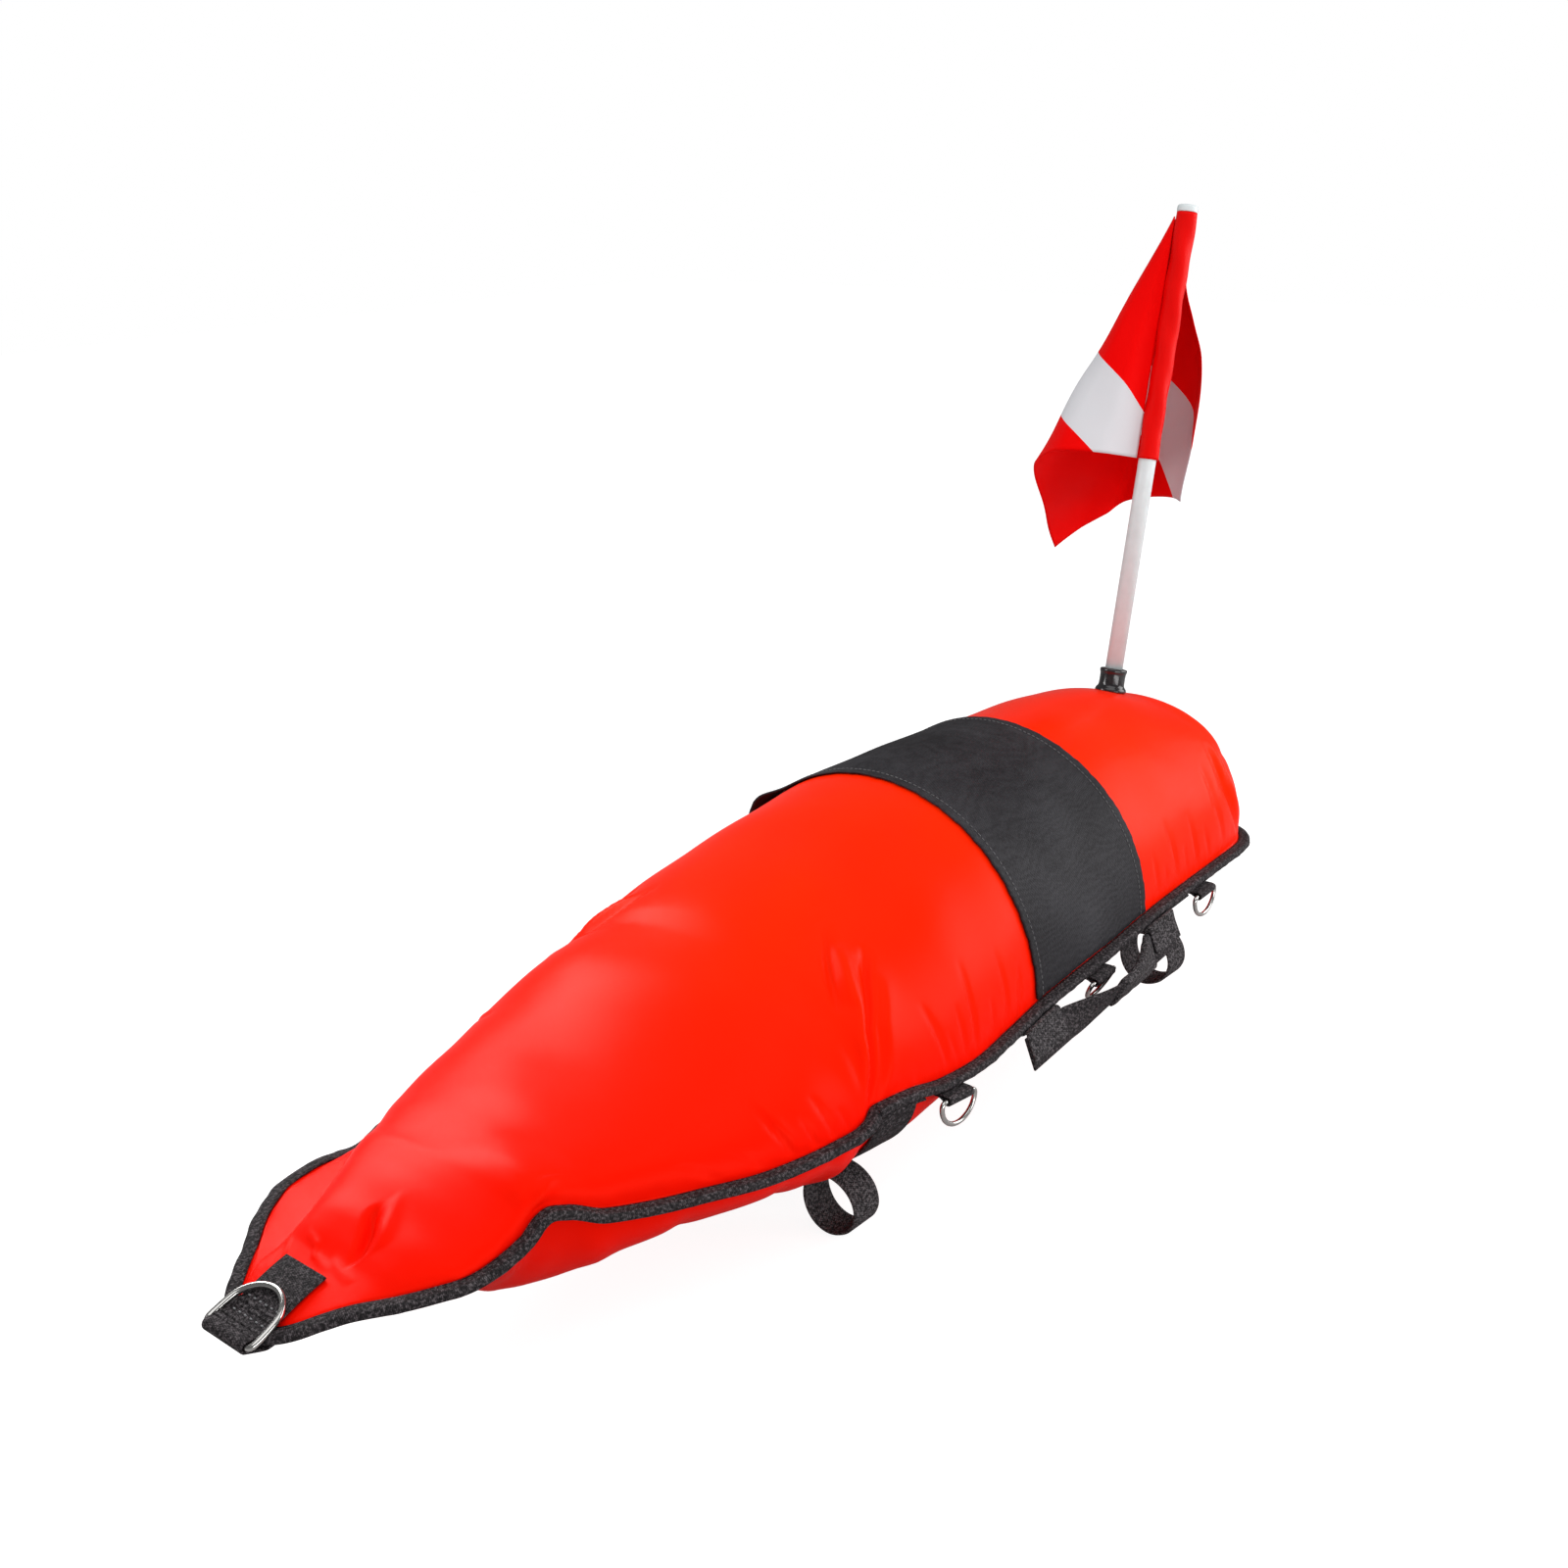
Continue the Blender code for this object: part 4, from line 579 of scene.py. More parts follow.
def woven(name, dark, light, spacing, blotch_size, height, stretch=1.0, **values):
    """A cloth finish: the weave group mixes two shades, and its threads give the bump."""
    made, tree, shader = new_finish(name, light, **values)
    cloth = run_group(tree, weave, Spacing=spacing, Stretch=stretch, Blotch=blotch_size)
    slow = sum_of(tree, "MULTIPLY", cloth["Shade"], 1 - THREAD_SHARE)
    share = sum_of(tree, "MULTIPLY_ADD", cloth["Threads"], THREAD_SHARE, slow)
    blend = mixed(tree, dark, light, share, shader.inputs["Base Color"])
    bumped(tree, shader, cloth["Threads"], height, CLOTH_BUMP)
    return made, tree, blend


orange_nylon, orange_tree, orange_blend = woven(
    "coated orange nylon", (0.95, 0.006, 0.0002), (1.0, 0.03, 0.0004), 0.00045, 0.16, 0.00004,
    Roughness=0.3, Specular_IOR_Level=0.06, Specular_Tint=(1.0, 0.5, 0.25, 1.0),
)
# painted light: the cover's red is painted lighter and more orange higher up, as if lit from above, and a
# little more orange towards the tail
SHADED_RED, TOP_LIT_RED = (0.98, 0.004, 0.0002), (1.0, 0.036, 0.0002)
LIGHT_UPWARD, ORANGE_TAILWARD, LIGHT_START = 7.0, 0.6, -0.75
cover_place = orange_tree.nodes.new("ShaderNodeTexCoord")
cover_split = orange_tree.nodes.new("ShaderNodeSeparateXYZ")
orange_tree.links.new(cover_place.outputs["Object"], cover_split.inputs[0])
raised = sum_of(orange_tree, "MULTIPLY_ADD", cover_split.outputs[2], LIGHT_UPWARD, LIGHT_START)
top_light_share = sum_of(orange_tree, "MULTIPLY_ADD", cover_split.outputs[0], ORANGE_TAILWARD, raised)
mixed(orange_tree, SHADED_RED, TOP_LIT_RED, top_light_share, orange_blend.inputs[7])

# rows crowd together where the cloth is creased, and columns towards the near seam
CROWN_ROWS, CROWN_COLUMNS, COLUMN_CROWDING = 380, 116, 0.4
detail = line_through(
    (0.013, 1.2), (0.140, 1.3), (0.200, 0.7), (0.270, 0.9), (0.330, 1.6), (0.560, 1.5), (0.590, 0.35),
    (0.750, 0.35), (0.790, 1.2), (0.990, 1.2),
)
weighted_run = np.append(0.0, np.cumsum(np.diff(fine_run) * detail(fine[1:] / LENGTH)))
rows = np.interp(np.linspace(0, weighted_run[-1], CROWN_ROWS), weighted_run, fine)
column_shares = np.linspace(0, 1, CROWN_COLUMNS)
turns = math.pi * column_shares * (1 - COLUMN_CROWDING + COLUMN_CROWDING * column_shares)
crown_grid = cover_face(rows, turns)
belly_grid = cover_face(rows, turns, under=True)


def with_flanges(grid, height):
    """Adds the flat sewn flange along both seams of a panel."""
    out = (FLANGE_WIDTH, FLANGE_WIDTH * 0.5)
    near = np.stack([beside_seam(rows, reach, height) for reach in out], axis=1)
    far = np.stack([beside_seam(rows, reach, height, 1) for reach in out[::-1]], axis=1)
    return np.concatenate([near, grid, far], axis=1)


body_middle = FLOAT_AT + (0.5 * LENGTH, 0.0, 0.0)
for name, grid, height, node in (
    ("cover_crown", crown_grid, LAYER_BASE, "cover_top_panel"),
    ("cover_belly", belly_grid, -LAYER_BASE, "cover_bottom_panel"),
):
    panel = skin(name, with_flanges(grid, height), orange_nylon, inside=body_middle)
    belongs(walled(panel, COVER_THICKNESS), "float", "orange_cover", node)


# Webbing: heavy black nylon tape, woven in ribs, with bulging selvedges. Every strap is a rounded
# strip carried along its middle line
ribs, ribs_in, ribs_out = group_with(
    "ribbed weave", (("Rib", 0.0016), ("Column", 0.0024), ("Fuzz", 0.4)), ("Ribs", "Shade"),
)
ribs_u, ribs_v = uv_parts(ribs)
column = sum_of(ribs, "FLOOR", sum_of(ribs, "DIVIDE", ribs_v, ribs_in.outputs["Column"]))
rib_turn = sum_of(ribs, "DIVIDE", sum_of(ribs, "MULTIPLY", ribs_u, math.pi), ribs_in.outputs["Rib"])
half_step = sum_of(ribs, "MULTIPLY", column, math.pi / 2)
rib_wave = sum_of(ribs, "ABSOLUTE", sum_of(ribs, "SINE", sum_of(ribs, "ADD", rib_turn, half_step)))
fluff = noise_in(ribs, 560.0, detail=4.0, roughness=0.62)
fluffed = sum_of(ribs, "MULTIPLY", fluff, ribs_in.outputs["Fuzz"])
ribs.links.new(sum_of(ribs, "ADD", rib_wave, fluffed), ribs_out.inputs["Ribs"])
ribs.links.new(fluff, ribs_out.inputs["Shade"])
GLINT_GAIN, GLINT_POWER, GLINT_FLOOR, WEBBING_BUMP = 1.6, 7.0, 0.05, 0.8


def ribbed(name, dark, light, rib, column_width, fuzz, height, **values):
    """A webbing finish with painted light and shade: rib crowns painted lit, dark between, and painted
    glints where the noise of stray fibres peaks. The light shade's share is ribs * ((gain * noise) ** power
    + floor).
    """
    made, tree, shader = new_finish(name, light, **values)
    tape = run_group(tree, ribs, Rib=rib, Column=column_width, Fuzz=fuzz)
    glint = sum_of(tree, "POWER", sum_of(tree, "MULTIPLY", tape["Shade"], GLINT_GAIN), GLINT_POWER)
    share = sum_of(tree, "MULTIPLY", tape["Ribs"], sum_of(tree, "ADD", glint, GLINT_FLOOR))
    mixed(tree, dark, light, share, shader.inputs["Base Color"])
    bumped(tree, shader, tape["Ribs"], height, WEBBING_BUMP)
    return made


black_webbing = ribbed(
    "black ribbed webbing", (0.004, 0.0035, 0.004), (0.110, 0.094, 0.101), 0.0012, 0.0021, 0.5, 0.0003,
    Roughness=0.7, Specular_IOR_Level=0.15,
)
hook_tape = ribbed(
    "black hook and loop tape", (0.004, 0.004, 0.004), (0.125, 0.112, 0.118), 0.0017, 0.0017, 1.6, 0.0006,
    Roughness=0.85, Specular_IOR_Level=0.15,
)


def strip_section(width, thickness, steps=5):
    """Outline of a strip of webbing: a flat oblong with half-round selvedges."""
    half, round_half = width / 2 - thickness / 2, thickness / 2
    turns_near = np.linspace(-math.pi / 2, math.pi / 2, steps)
    edge = np.stack([half + round_half * np.cos(turns_near), round_half * np.sin(turns_near)], 1)
    face = np.stack([np.linspace(half, -half, 8)[1:-1], np.full(6, round_half)], 1)
    return np.concatenate([edge, face, -edge, -face])


def strap(name, middle, across, width, thickness, finish, closed=False):
    """Webbing carried along a line of places, lying across it in the given directions."""
    middle = np.asarray(middle, float)
    across = np.broadcast_to(np.asarray(across, float), middle.shape)
    if closed:
        along = np.roll(middle, -1, 0) - np.roll(middle, 1, 0)
    else:
        along = np.gradient(middle, axis=0)
    face = unit(np.cross(along, across))
    width, thickness = np.broadcast_to(width, len(middle)), np.broadcast_to(thickness, len(middle))
    section = np.stack([strip_section(w, t) for w, t in zip(width, thickness)])
    points = middle[:, None] + section[..., :1] * across[:, None] + section[..., 1:] * face[:, None]
    u, v = (run_along(np.concatenate([line, line[:1]])) for line in (middle, section[0]))
    uv = np.stack(np.meshgrid(u, v, indexing="ij"), axis=-1)
    return skin(name, points, finish, uv, wrap_rows=closed, wrap_columns=True, caps=not closed)


def smoothed(points, count, closed=False, rounds=3):
    """Cuts the corners of a line of places a few times, then spaces it evenly."""
    points = np.asarray(points, float)
    for _ in range(rounds):
        after = np.roll(points, -1, 0) if closed else points[1:]
        before = points if closed else points[:-1]
        cut = np.stack([0.75 * before + 0.25 * after, 0.25 * before + 0.75 * after], 1)
        cut = cut.reshape(-1, points.shape[1])
        points = cut if closed else np.concatenate([points[:1], cut[1:-1], points[-1:]])
    line = np.concatenate([points, points[:1]]) if closed else points
    run = run_along(line)
    return spots_on(line, np.linspace(0, run[-1], count, endpoint=not closed), run)


# Thread: bonded nylon, in rows of short stitches that stand just proud of the webbing they hold.
# Each stitch is a small faceted bead along its row
black_thread, _, _ = new_finish(
    "black thread", (0.045, 0.042, 0.044), Roughness=0.5, Specular_IOR_Level=0.3)
# length, gap to the next one and radius
FINE_STITCH = (0.0030, 0.0013, 0.00038)
BEAD_SHARES = np.array((-0.5, -0.3, 0.0, 0.3, 0.5))
BEAD_FULLNESS = np.array((0.35, 0.9, 1.0, 0.9, 0.35))
BEAD_SIDES, BEAD_STEP = 5, 1e-4


def stitches(name, lines, rise, finish, body, slot="black_webbing", size=FINE_STITCH):
    """Beads of thread along lines of places: rise is the direction, one per line, they stand in."""
    length, gap, radius = size
    points, faces, count = [], [], 0
    rings_each, bead_points = len(BEAD_SHARES), len(BEAD_SHARES) * BEAD_SIDES
    turn = np.arange(BEAD_SIDES) * 2 * math.pi / BEAD_SIDES
    i, j = np.meshgrid(np.arange(rings_each - 1), np.arange(BEAD_SIDES), indexing="ij")
    following = (j + 1) % BEAD_SIDES
    quad = np.stack([i * BEAD_SIDES + j, i * BEAD_SIDES + following,
                     (i + 1) * BEAD_SIDES + following, (i + 1) * BEAD_SIDES + j], -1).reshape(1, -1, 4)
    for line, lifted in zip(lines, rise):
        line = np.asarray(line, float)
        lifted = np.broadcast_to(np.asarray(lifted, float), line.shape)
        run = run_along(line)
        number = max(int(run[-1] / (length + gap)), 1)
        starts = (np.arange(number) + 0.5) * run[-1] / number
        spots = (starts[:, None] + BEAD_SHARES * length).ravel()
        out = unit(spots_on(lifted, spots, run))
        ahead = unit(spots_on(line, spots + BEAD_STEP, run) - spots_on(line, spots - BEAD_STEP, run))
        aside = np.cross(ahead, out)
        thick = np.tile(BEAD_FULLNESS * radius, number)
        rings = spots_on(line, spots, run)[:, None] + thick[:, None, None] * (
            np.cos(turn)[None, :, None] * aside[:, None] + np.sin(turn)[None, :, None] * out[:, None])
        points.append(rings.reshape(-1, 3))
        first = count + np.arange(number) * bead_points
        faces += (first[:, None, None] + quad).reshape(-1, 4).tolist()
        faces += (first[:, None] + np.arange(BEAD_SIDES)[::-1]).tolist()
        faces += (first[:, None] + bead_points - BEAD_SIDES + np.arange(BEAD_SIDES)).tolist()
        count += number * bead_points
    belongs(new_piece(name, np.concatenate(points), faces, finish), body, slot)


# Edge binding: webbing folded over the flange and sewn through, all the way round the float.
# A U-shaped section is carried once round the seam
BINDING_THICKNESS, BINDING_EASE = 0.0012, 0.0003
BINDING_LIP, BINDING_SELVEDGE, BINDING_SHOULDER = 0.0012, 0.0004, 0.0035
BINDING_ROUND, BINDING_SLACK, BINDING_STITCHED = 0.8, 0.00022, 0.0034
BINDING_INNER = LAYER_BASE + BINDING_EASE
BINDING_OUTER = BINDING_INNER + BINDING_THICKNESS
BINDING_REACH = FLANGE_WIDTH + BINDING_EASE + BINDING_THICKNESS
seam_rows = places_between(NOSE_TIP, TAIL_TIP, 420)
round_turn = np.linspace(math.pi / 2, -math.pi / 2, 9)
round_reach = BINDING_OUTER * BINDING_ROUND
bend = np.stack([
    BINDING_REACH - round_reach + round_reach * np.cos(round_turn), BINDING_OUTER * np.sin(round_turn),
], 1)
upper_leg = np.array((
    (BINDING_LIP, BINDING_INNER), (BINDING_LIP - BINDING_SELVEDGE, (BINDING_INNER + BINDING_OUTER) / 2),
    (BINDING_LIP, BINDING_OUTER), (BINDING_LIP + BINDING_SHOULDER, BINDING_OUTER),
))
inner_edge = np.array(((FLANGE_WIDTH + 0.0001, -BINDING_INNER), (FLANGE_WIDTH + 0.0001, BINDING_INNER)))
binding_section = np.concatenate([upper_leg, bend, upper_leg[::-1] * (1, -1), inner_edge])
slack = BINDING_SLACK * (np.sin(seam_rows * 213) + np.sin(seam_rows * 471 + 1.0))
halves = []
for side, order in ((-1, slice(None)), (1, slice(-2, 0, -1))):
    halves.append(np.stack([
        beside_seam(seam_rows[order], out + (slack[order] if out > FLANGE_WIDTH else 0.0), high, side)
        for out, high in binding_section
    ], axis=1))
binding = skin("binding_tape", np.concatenate(halves), black_webbing, wrap_rows=True, wrap_columns=True,
               inside=body_middle)
belongs(binding, "float", "black_webbing", "edge_binding")
stitch_rows, stitch_rises = [], []
for side in (-1, 1):
    for high in (BINDING_OUTER, -BINDING_OUTER):
        stitch_rows.append(beside_seam(seam_rows, BINDING_STITCHED, high, side))
        stitch_rises.append((0.0, 0.0, math.copysign(1.0, high)))
stitches("binding_stitches", stitch_rows, stitch_rises, black_thread, "float")


# Saddle: a wide band of coated charcoal cloth over the crown, from tape to tape, hemmed along
# its front and rear edges, where gear rubs against the float
SADDLE_FRONT, SADDLE_REAR, SADDLE_THICKNESS = 0.588, 0.758, 0.0018
SADDLE_LIFT, SADDLE_MARGIN = 0.0006, 0.022
HEM_WIDTH, HEM_RISE, HEM_GROOVE, GROOVE_WIDTH = 0.0075, 0.0006, 0.0004, 0.0012
CORNER_FLARE, FLARE_LENGTH, FLARE_TURN, FLARE_SPREAD = 0.011, 0.030, math.radians(141), 0.16
EDGE_WEAR, WORN_ROWS = 0.0007, 6
charcoal_cloth, charcoal_tree, charcoal_blend = woven(
    "charcoal coated cloth", (0.010, 0.009, 0.011), (0.062, 0.060, 0.066), 0.0011, 0.09, 0.00018, 0.5,
    Roughness=0.62, Specular_IOR_Level=0.13,
)
# watered sheen: fine bent rings of lighter shade, where the weave of two layers runs out of step,
# over patches and grain. Each noise has its gain and its offset
PATCHES, GRAIN, RING_SHARE, PATCH_SHARE = (2.2, -0.75), (1.5, -0.62), 0.26, 0.8
DULL_CHARCOAL, LIT_CHARCOAL = (0.020, 0.018, 0.020), (0.068, 0.066, 0.073)
watered = charcoal_tree.nodes.new("ShaderNodeTexWave")
watered.wave_type = "RINGS"
for words, value in (("Scale", 105.0), ("Distortion", 22.0), ("Detail", 3.0), ("Detail Scale", 0.22)):
    watered.inputs[words].default_value = value
saddle_place = charcoal_tree.nodes.new("ShaderNodeTexCoord")
charcoal_tree.links.new(saddle_place.outputs["Object"], watered.inputs["Vector"])
patchy = sum_of(charcoal_tree, "MULTIPLY_ADD", noise_in(charcoal_tree, 13.0, detail=5.0), *PATCHES)
grainy = sum_of(charcoal_tree, "MULTIPLY_ADD", noise_in(charcoal_tree, 650.0), *GRAIN)
mottled = sum_of(charcoal_tree, "MULTIPLY_ADD", patchy, PATCH_SHARE, grainy)
sheen_share = sum_of(charcoal_tree, "MULTIPLY_ADD", watered.outputs["Fac"], RING_SHARE, mottled)
mixed(charcoal_tree, DULL_CHARCOAL, LIT_CHARCOAL, sheen_share, charcoal_blend.inputs[7])
saddle_turns = np.linspace(SADDLE_MARGIN, math.pi - SADDLE_MARGIN, 110)
saddle_x = np.linspace(SADDLE_FRONT, SADDLE_REAR, 90)
from_front, from_rear = saddle_x - SADDLE_FRONT, SADDLE_REAR - saddle_x
# each hem stands up to its row of stitches, which draws it down in a groove
hem_rise = sum(
    HEM_RISE * np.exp(-((gap / HEM_WIDTH) ** 4))
    - HEM_GROOVE * np.exp(-(((gap - HEM_WIDTH) / GROOVE_WIDTH) ** 2))
    for gap in (from_front, from_rear)
)[:, None]
# the far front corner has come away a little and sticks out
corner_flare = CORNER_FLARE * np.exp(-from_front / FLARE_LENGTH)[:, None] * np.exp(
    -(((saddle_turns - FLARE_TURN) / FLARE_SPREAD) ** 2))
edge_wear = EDGE_WEAR * np.sin(saddle_turns * 61) * np.sin(saddle_turns * 23)
saddle_grid = cover_face(saddle_x, saddle_turns, lift=SADDLE_LIFT + hem_rise + corner_flare)
wear_fade = np.linspace(1, 0, WORN_ROWS)[:, None]
saddle_grid[:WORN_ROWS, :, 0] += edge_wear * wear_fade
saddle_grid[-WORN_ROWS:, :, 0] += edge_wear * wear_fade[::-1]
saddle = skin("saddle_cloth", saddle_grid, charcoal_cloth, inside=body_middle)
belongs(walled(saddle, SADDLE_THICKNESS - 0.0002, outward=True), "float", "charcoal_cloth", "saddle_panel")
hem_lines = [
    cover_face(np.array((x, x + 1e-4)), saddle_turns, lift=SADDLE_LIFT + SADDLE_THICKNESS)[0]
    for x in (SADDLE_FRONT + HEM_WIDTH, SADDLE_REAR - HEM_WIDTH)
]
hem_outs = [line - (body_middle * (0, 1, 1) + line * (1, 0, 0)) for line in hem_lines]
grey_thread, _, _ = new_finish(
    "grey saddle thread", (0.13, 0.125, 0.13), Roughness=0.5, Specular_IOR_Level=0.3)
stitches("saddle_hem_stitches", hem_lines, hem_outs, grey_thread, "float", "charcoal_cloth")


# Belly straps: two webbing straps across the belly, sewn into the seams at both ends, which
# carry the gear loops
STRAP_WIDTH, STRAP_THICKNESS, STRAP_LIFT, STRAP_MARGIN = 0.038, 0.0018, 0.0008, 0.03
TAB_TOP = BINDING_OUTER + 0.0006
FLANGE_SPREAD = (FLANGE_WIDTH, FLANGE_WIDTH * 0.5, 0.0015)
for name, strap_x, node in (
    ("front_strap_webbing", 0.411, "front_belly_strap"), ("rear_strap_webbing", 0.805, "rear_belly_strap"),
):
    turn = np.linspace(STRAP_MARGIN, math.pi - STRAP_MARGIN, 90)
    x = np.linspace(strap_x - STRAP_WIDTH / 2, strap_x + STRAP_WIDTH / 2, 7)
    on_belly = cover_face(x, turn, under=True, lift=STRAP_LIFT)
    near = np.stack([beside_seam(x, reach, -TAB_TOP) for reach in FLANGE_SPREAD], 1)
    far = np.stack([beside_seam(x, reach, -TAB_TOP, 1) for reach in FLANGE_SPREAD[::-1]], 1)
    strap_grid = np.concatenate([near, on_belly, far], 1).transpose(1, 0, 2)
    made = skin(name, strap_grid, black_webbing, inside=body_middle)
    belongs(walled(made, STRAP_THICKNESS - 0.0004, outward=True), "float", "black_webbing", node)


# Gear loops: bands of hook-and-loop webbing under the belly straps. Each goes once round and
# laps over itself, and a bar tack holds it to its strap
LOOP_RADIUS, LOOP_WIDTH, LOOP_THICKNESS = 0.0240, 0.0270, 0.0026
LAP_TURN, LAP_SPREAD, LAP_RISE, LAP_THICKENING = 3.6, 0.55, 0.0004, 0.0007
LOOP_WAVE, LOOP_TRIM, LOOP_THINNED = 0.0004, 0.0005, 0.0008
TACK_TURN, TACK_WIDTH, TACK_LIFT = 3.05, 0.84, 0.0012
for node, side in (
    ("front_near_gear_loop", -1), ("front_far_gear_loop", 1),
    ("rear_near_gear_loop", -1), ("rear_far_gear_loop", 1),
):
    centre = np.mean(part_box(node), axis=0)
    turn = np.linspace(0, 2 * math.pi, 73)[:-1]
    from_lap = np.mod(turn - LAP_TURN + math.pi, 2 * math.pi) - math.pi
    lap = np.exp(-((from_lap / LAP_SPREAD) ** 4))
    reach = LOOP_RADIUS - LOOP_THICKNESS / 2 + LOOP_WAVE * np.sin(3 * turn + side)
    reach = reach - LOOP_TRIM + LAP_RISE * lap
    line = np.stack([0 * turn, reach * np.cos(turn), reach * np.sin(turn)], 1) + centre
    thickness = LOOP_THICKNESS - LOOP_THINNED + LAP_THICKENING * lap
    made = strap(f"{node}_band", line, (1.0, 0.0, 0.0), LOOP_WIDTH, thickness, hook_tape, closed=True)
    belongs(made, "float", "black_webbing", node)
    end = line[np.argmin(np.abs(turn - TACK_TURN))]
    out = unit(end - centre)
    tack = np.linspace(-0.5, 0.5, 9)[:, None] * (TACK_WIDTH * LOOP_WIDTH, 0.0, 0.0)
    stitches(f"{node}_stitches", [end + out * TACK_LIFT + tack], [out], black_thread, "float")


# Nose strap: webbing over and under the tongue, sewn through it, and folded round the bar of
# the tow ring
NOSE_STRAP_WIDTH, NOSE_STRAP_THICKNESS = 0.038, 0.0017
NOSE_STRAP_BACK, NOSE_STRAP_UNDER = 0.052, 0.042
NOSE_BAR = np.array((-0.0030, SEAM_WAVE * -0.72 + 0.0030))
NOSE_STRAP_REST, FOLD_START = 0.0010, NOSE_TIP / 2 + 0.002
TOW_WIRE, RING_CLEARANCE = 0.0042, 0.0004


def tongue_face(x, under_it):
    """Middle height of the webbing over, or under, the flat tongue of the cover."""
    at = np.maximum(x, NOSE_TIP)
    seam = seam_height(at)
    skin_at = skin_points(at, np.full(at.shape, math.pi / 2), under_it)[..., 2] - FLOAT_AT[2]
    rest = np.maximum(BINDING_OUTER * np.interp(at, fine, fine_steep), np.abs(skin_at - seam))
    rest = rest + NOSE_STRAP_REST + NOSE_STRAP_THICKNESS / 2
    return seam - rest if under_it else seam + rest


over_x = np.linspace(NOSE_STRAP_BACK, FOLD_START, 14)
under_x = np.linspace(FOLD_START, NOSE_STRAP_UNDER, 12)
eye_turn = np.radians(np.linspace(78, 262, 14))
eye_reach = TOW_WIRE / 2 + RING_CLEARANCE + NOSE_STRAP_THICKNESS / 2
eye_line = NOSE_BAR + eye_reach * np.stack([np.cos(eye_turn), np.sin(eye_turn)], 1)
fold_line = smoothed(np.concatenate([
    np.stack([over_x, tongue_face(over_x, False)], 1), eye_line,
    np.stack([under_x, tongue_face(under_x, True)], 1),
]), 90, rounds=2)
nose_line = FLOAT_AT + np.stack([fold_line[:, 0], 0 * fold_line[:, 0], fold_line[:, 1]], 1)
nose_strap = strap("nose_webbing", nose_line, (0.0, 1.0, 0.0), NOSE_STRAP_WIDTH, NOSE_STRAP_THICKNESS,
                   black_webbing)
belongs(nose_strap, "float", "black_webbing", "nose_strap")

# a box of stitches with a cross in it, on the top face
BOX_FRONT, BOX_MARGIN = 0.018, 0.004
box_x = np.array((BOX_FRONT, NOSE_STRAP_BACK - BOX_MARGIN))
box_y = np.array((-1, 1)) * (NOSE_STRAP_WIDTH / 2 - BOX_MARGIN)
box_lines = []
for start, end in (
    ((0, 0), (1, 0)), ((1, 0), (1, 1)), ((1, 1), (0, 1)),
    ((0, 1), (0, 0)), ((0, 0), (1, 1)), ((0, 1), (1, 0)),
):
    x = np.linspace(box_x[start[0]], box_x[end[0]], 20)
    y = np.linspace(box_y[start[1]], box_y[end[1]], 20)
    box_lines.append(FLOAT_AT + np.stack([x, y, tongue_face(x, False) + NOSE_STRAP_THICKNESS / 2], 1))
stitches("nose_strap_box_stitch", box_lines, [(0.0, 0.0, 1.0)] * 6, black_thread, "float")

# the folded end lies in layers across the strap, each held by a row of heavy stitches. A layer
# is its distance round the fold and its height
NOSE_LAYERS = ((0.0345, 0.0016), (0.0378, 0.0014), (0.0478, 0.0016), (0.0520, 0.0014))
LAYER_WIDTH, LAYER_INSET, LAYER_LIFT, LAYER_WANDER = 0.0021, 0.0012, 0.0001, 0.00025
HEAVY_ROWS, HEAVY_INSET, HEAVY_LIFT = (0.0312, 0.0425), 0.006, 0.0003
HEAVY_STITCH = (0.0022, 0.0026, 0.0007)
heavy_thread, _, _ = new_finish(
    "waxed grey thread", (0.20, 0.20, 0.21), Roughness=0.45, Specular_IOR_Level=0.4)
fold_along = np.gradient(nose_line, axis=0)
fold_out = unit(np.stack([fold_along[:, 2], 0 * fold_along[:, 0], -fold_along[:, 0]], 1))
fold_out *= np.sign((fold_out * (nose_line - nose_line.mean(axis=0))).sum(axis=1).mean())
across_nose = np.linspace(-0.5, 0.5, 30)


def over_fold(run, lift, inset):
    """A line across the outside of the nose strap at a distance round its fold, and its outward."""
    fold_run = run_along(nose_line)
    place, out = spots_on(nose_line, run, fold_run), spots_on(fold_out, run, fold_run)
    place = place + (NOSE_STRAP_THICKNESS / 2 + lift) * out
    return place + across_nose[:, None] * (0.0, NOSE_STRAP_WIDTH - inset, 0.0), out


for number, (run, high) in enumerate(NOSE_LAYERS):
    line, out = over_fold(run, LAYER_LIFT, LAYER_INSET)
    line = line + LAYER_WANDER * np.sin(across_nose * 31 + number)[:, None] * (1.0, 0.0, 0.0)
    across = np.cross(out, (0.0, 1.0, 0.0))
    layer = strap(f"nose_layer_{number + 1}", line, across, LAYER_WIDTH, high, hook_tape)
    belongs(layer, "float", "black_webbing")
heavy_lines, heavy_outs = zip(*(over_fold(run, HEAVY_LIFT, HEAVY_INSET) for run in HEAVY_ROWS))
stitches("nose_strap_heavy_stitches", heavy_lines, heavy_outs, heavy_thread, "float", size=HEAVY_STITCH)


# Rings: bent stainless rod, welded in the bar and polished, with fine drawing marks along it.
# The tow ring's bar lies in the fold of the nose strap, and the ring leans back on the strap
steel, steel_tree, steel_shader = new_finish(
    "polished stainless rod", (0.66, 0.65, 0.63), Metallic=1.0, Roughness=0.2)
MARKED_ROUGHNESS = (0.22, 0.08)
marks = sum_of(steel_tree, "MULTIPLY_ADD", noise_in(steel_tree, 420.0, detail=3.0), *MARKED_ROUGHNESS)
steel_tree.links.new(marks, steel_shader.inputs["Roughness"])


CORNER_SIZE, CORNER_CUT = 0.9, 0.3


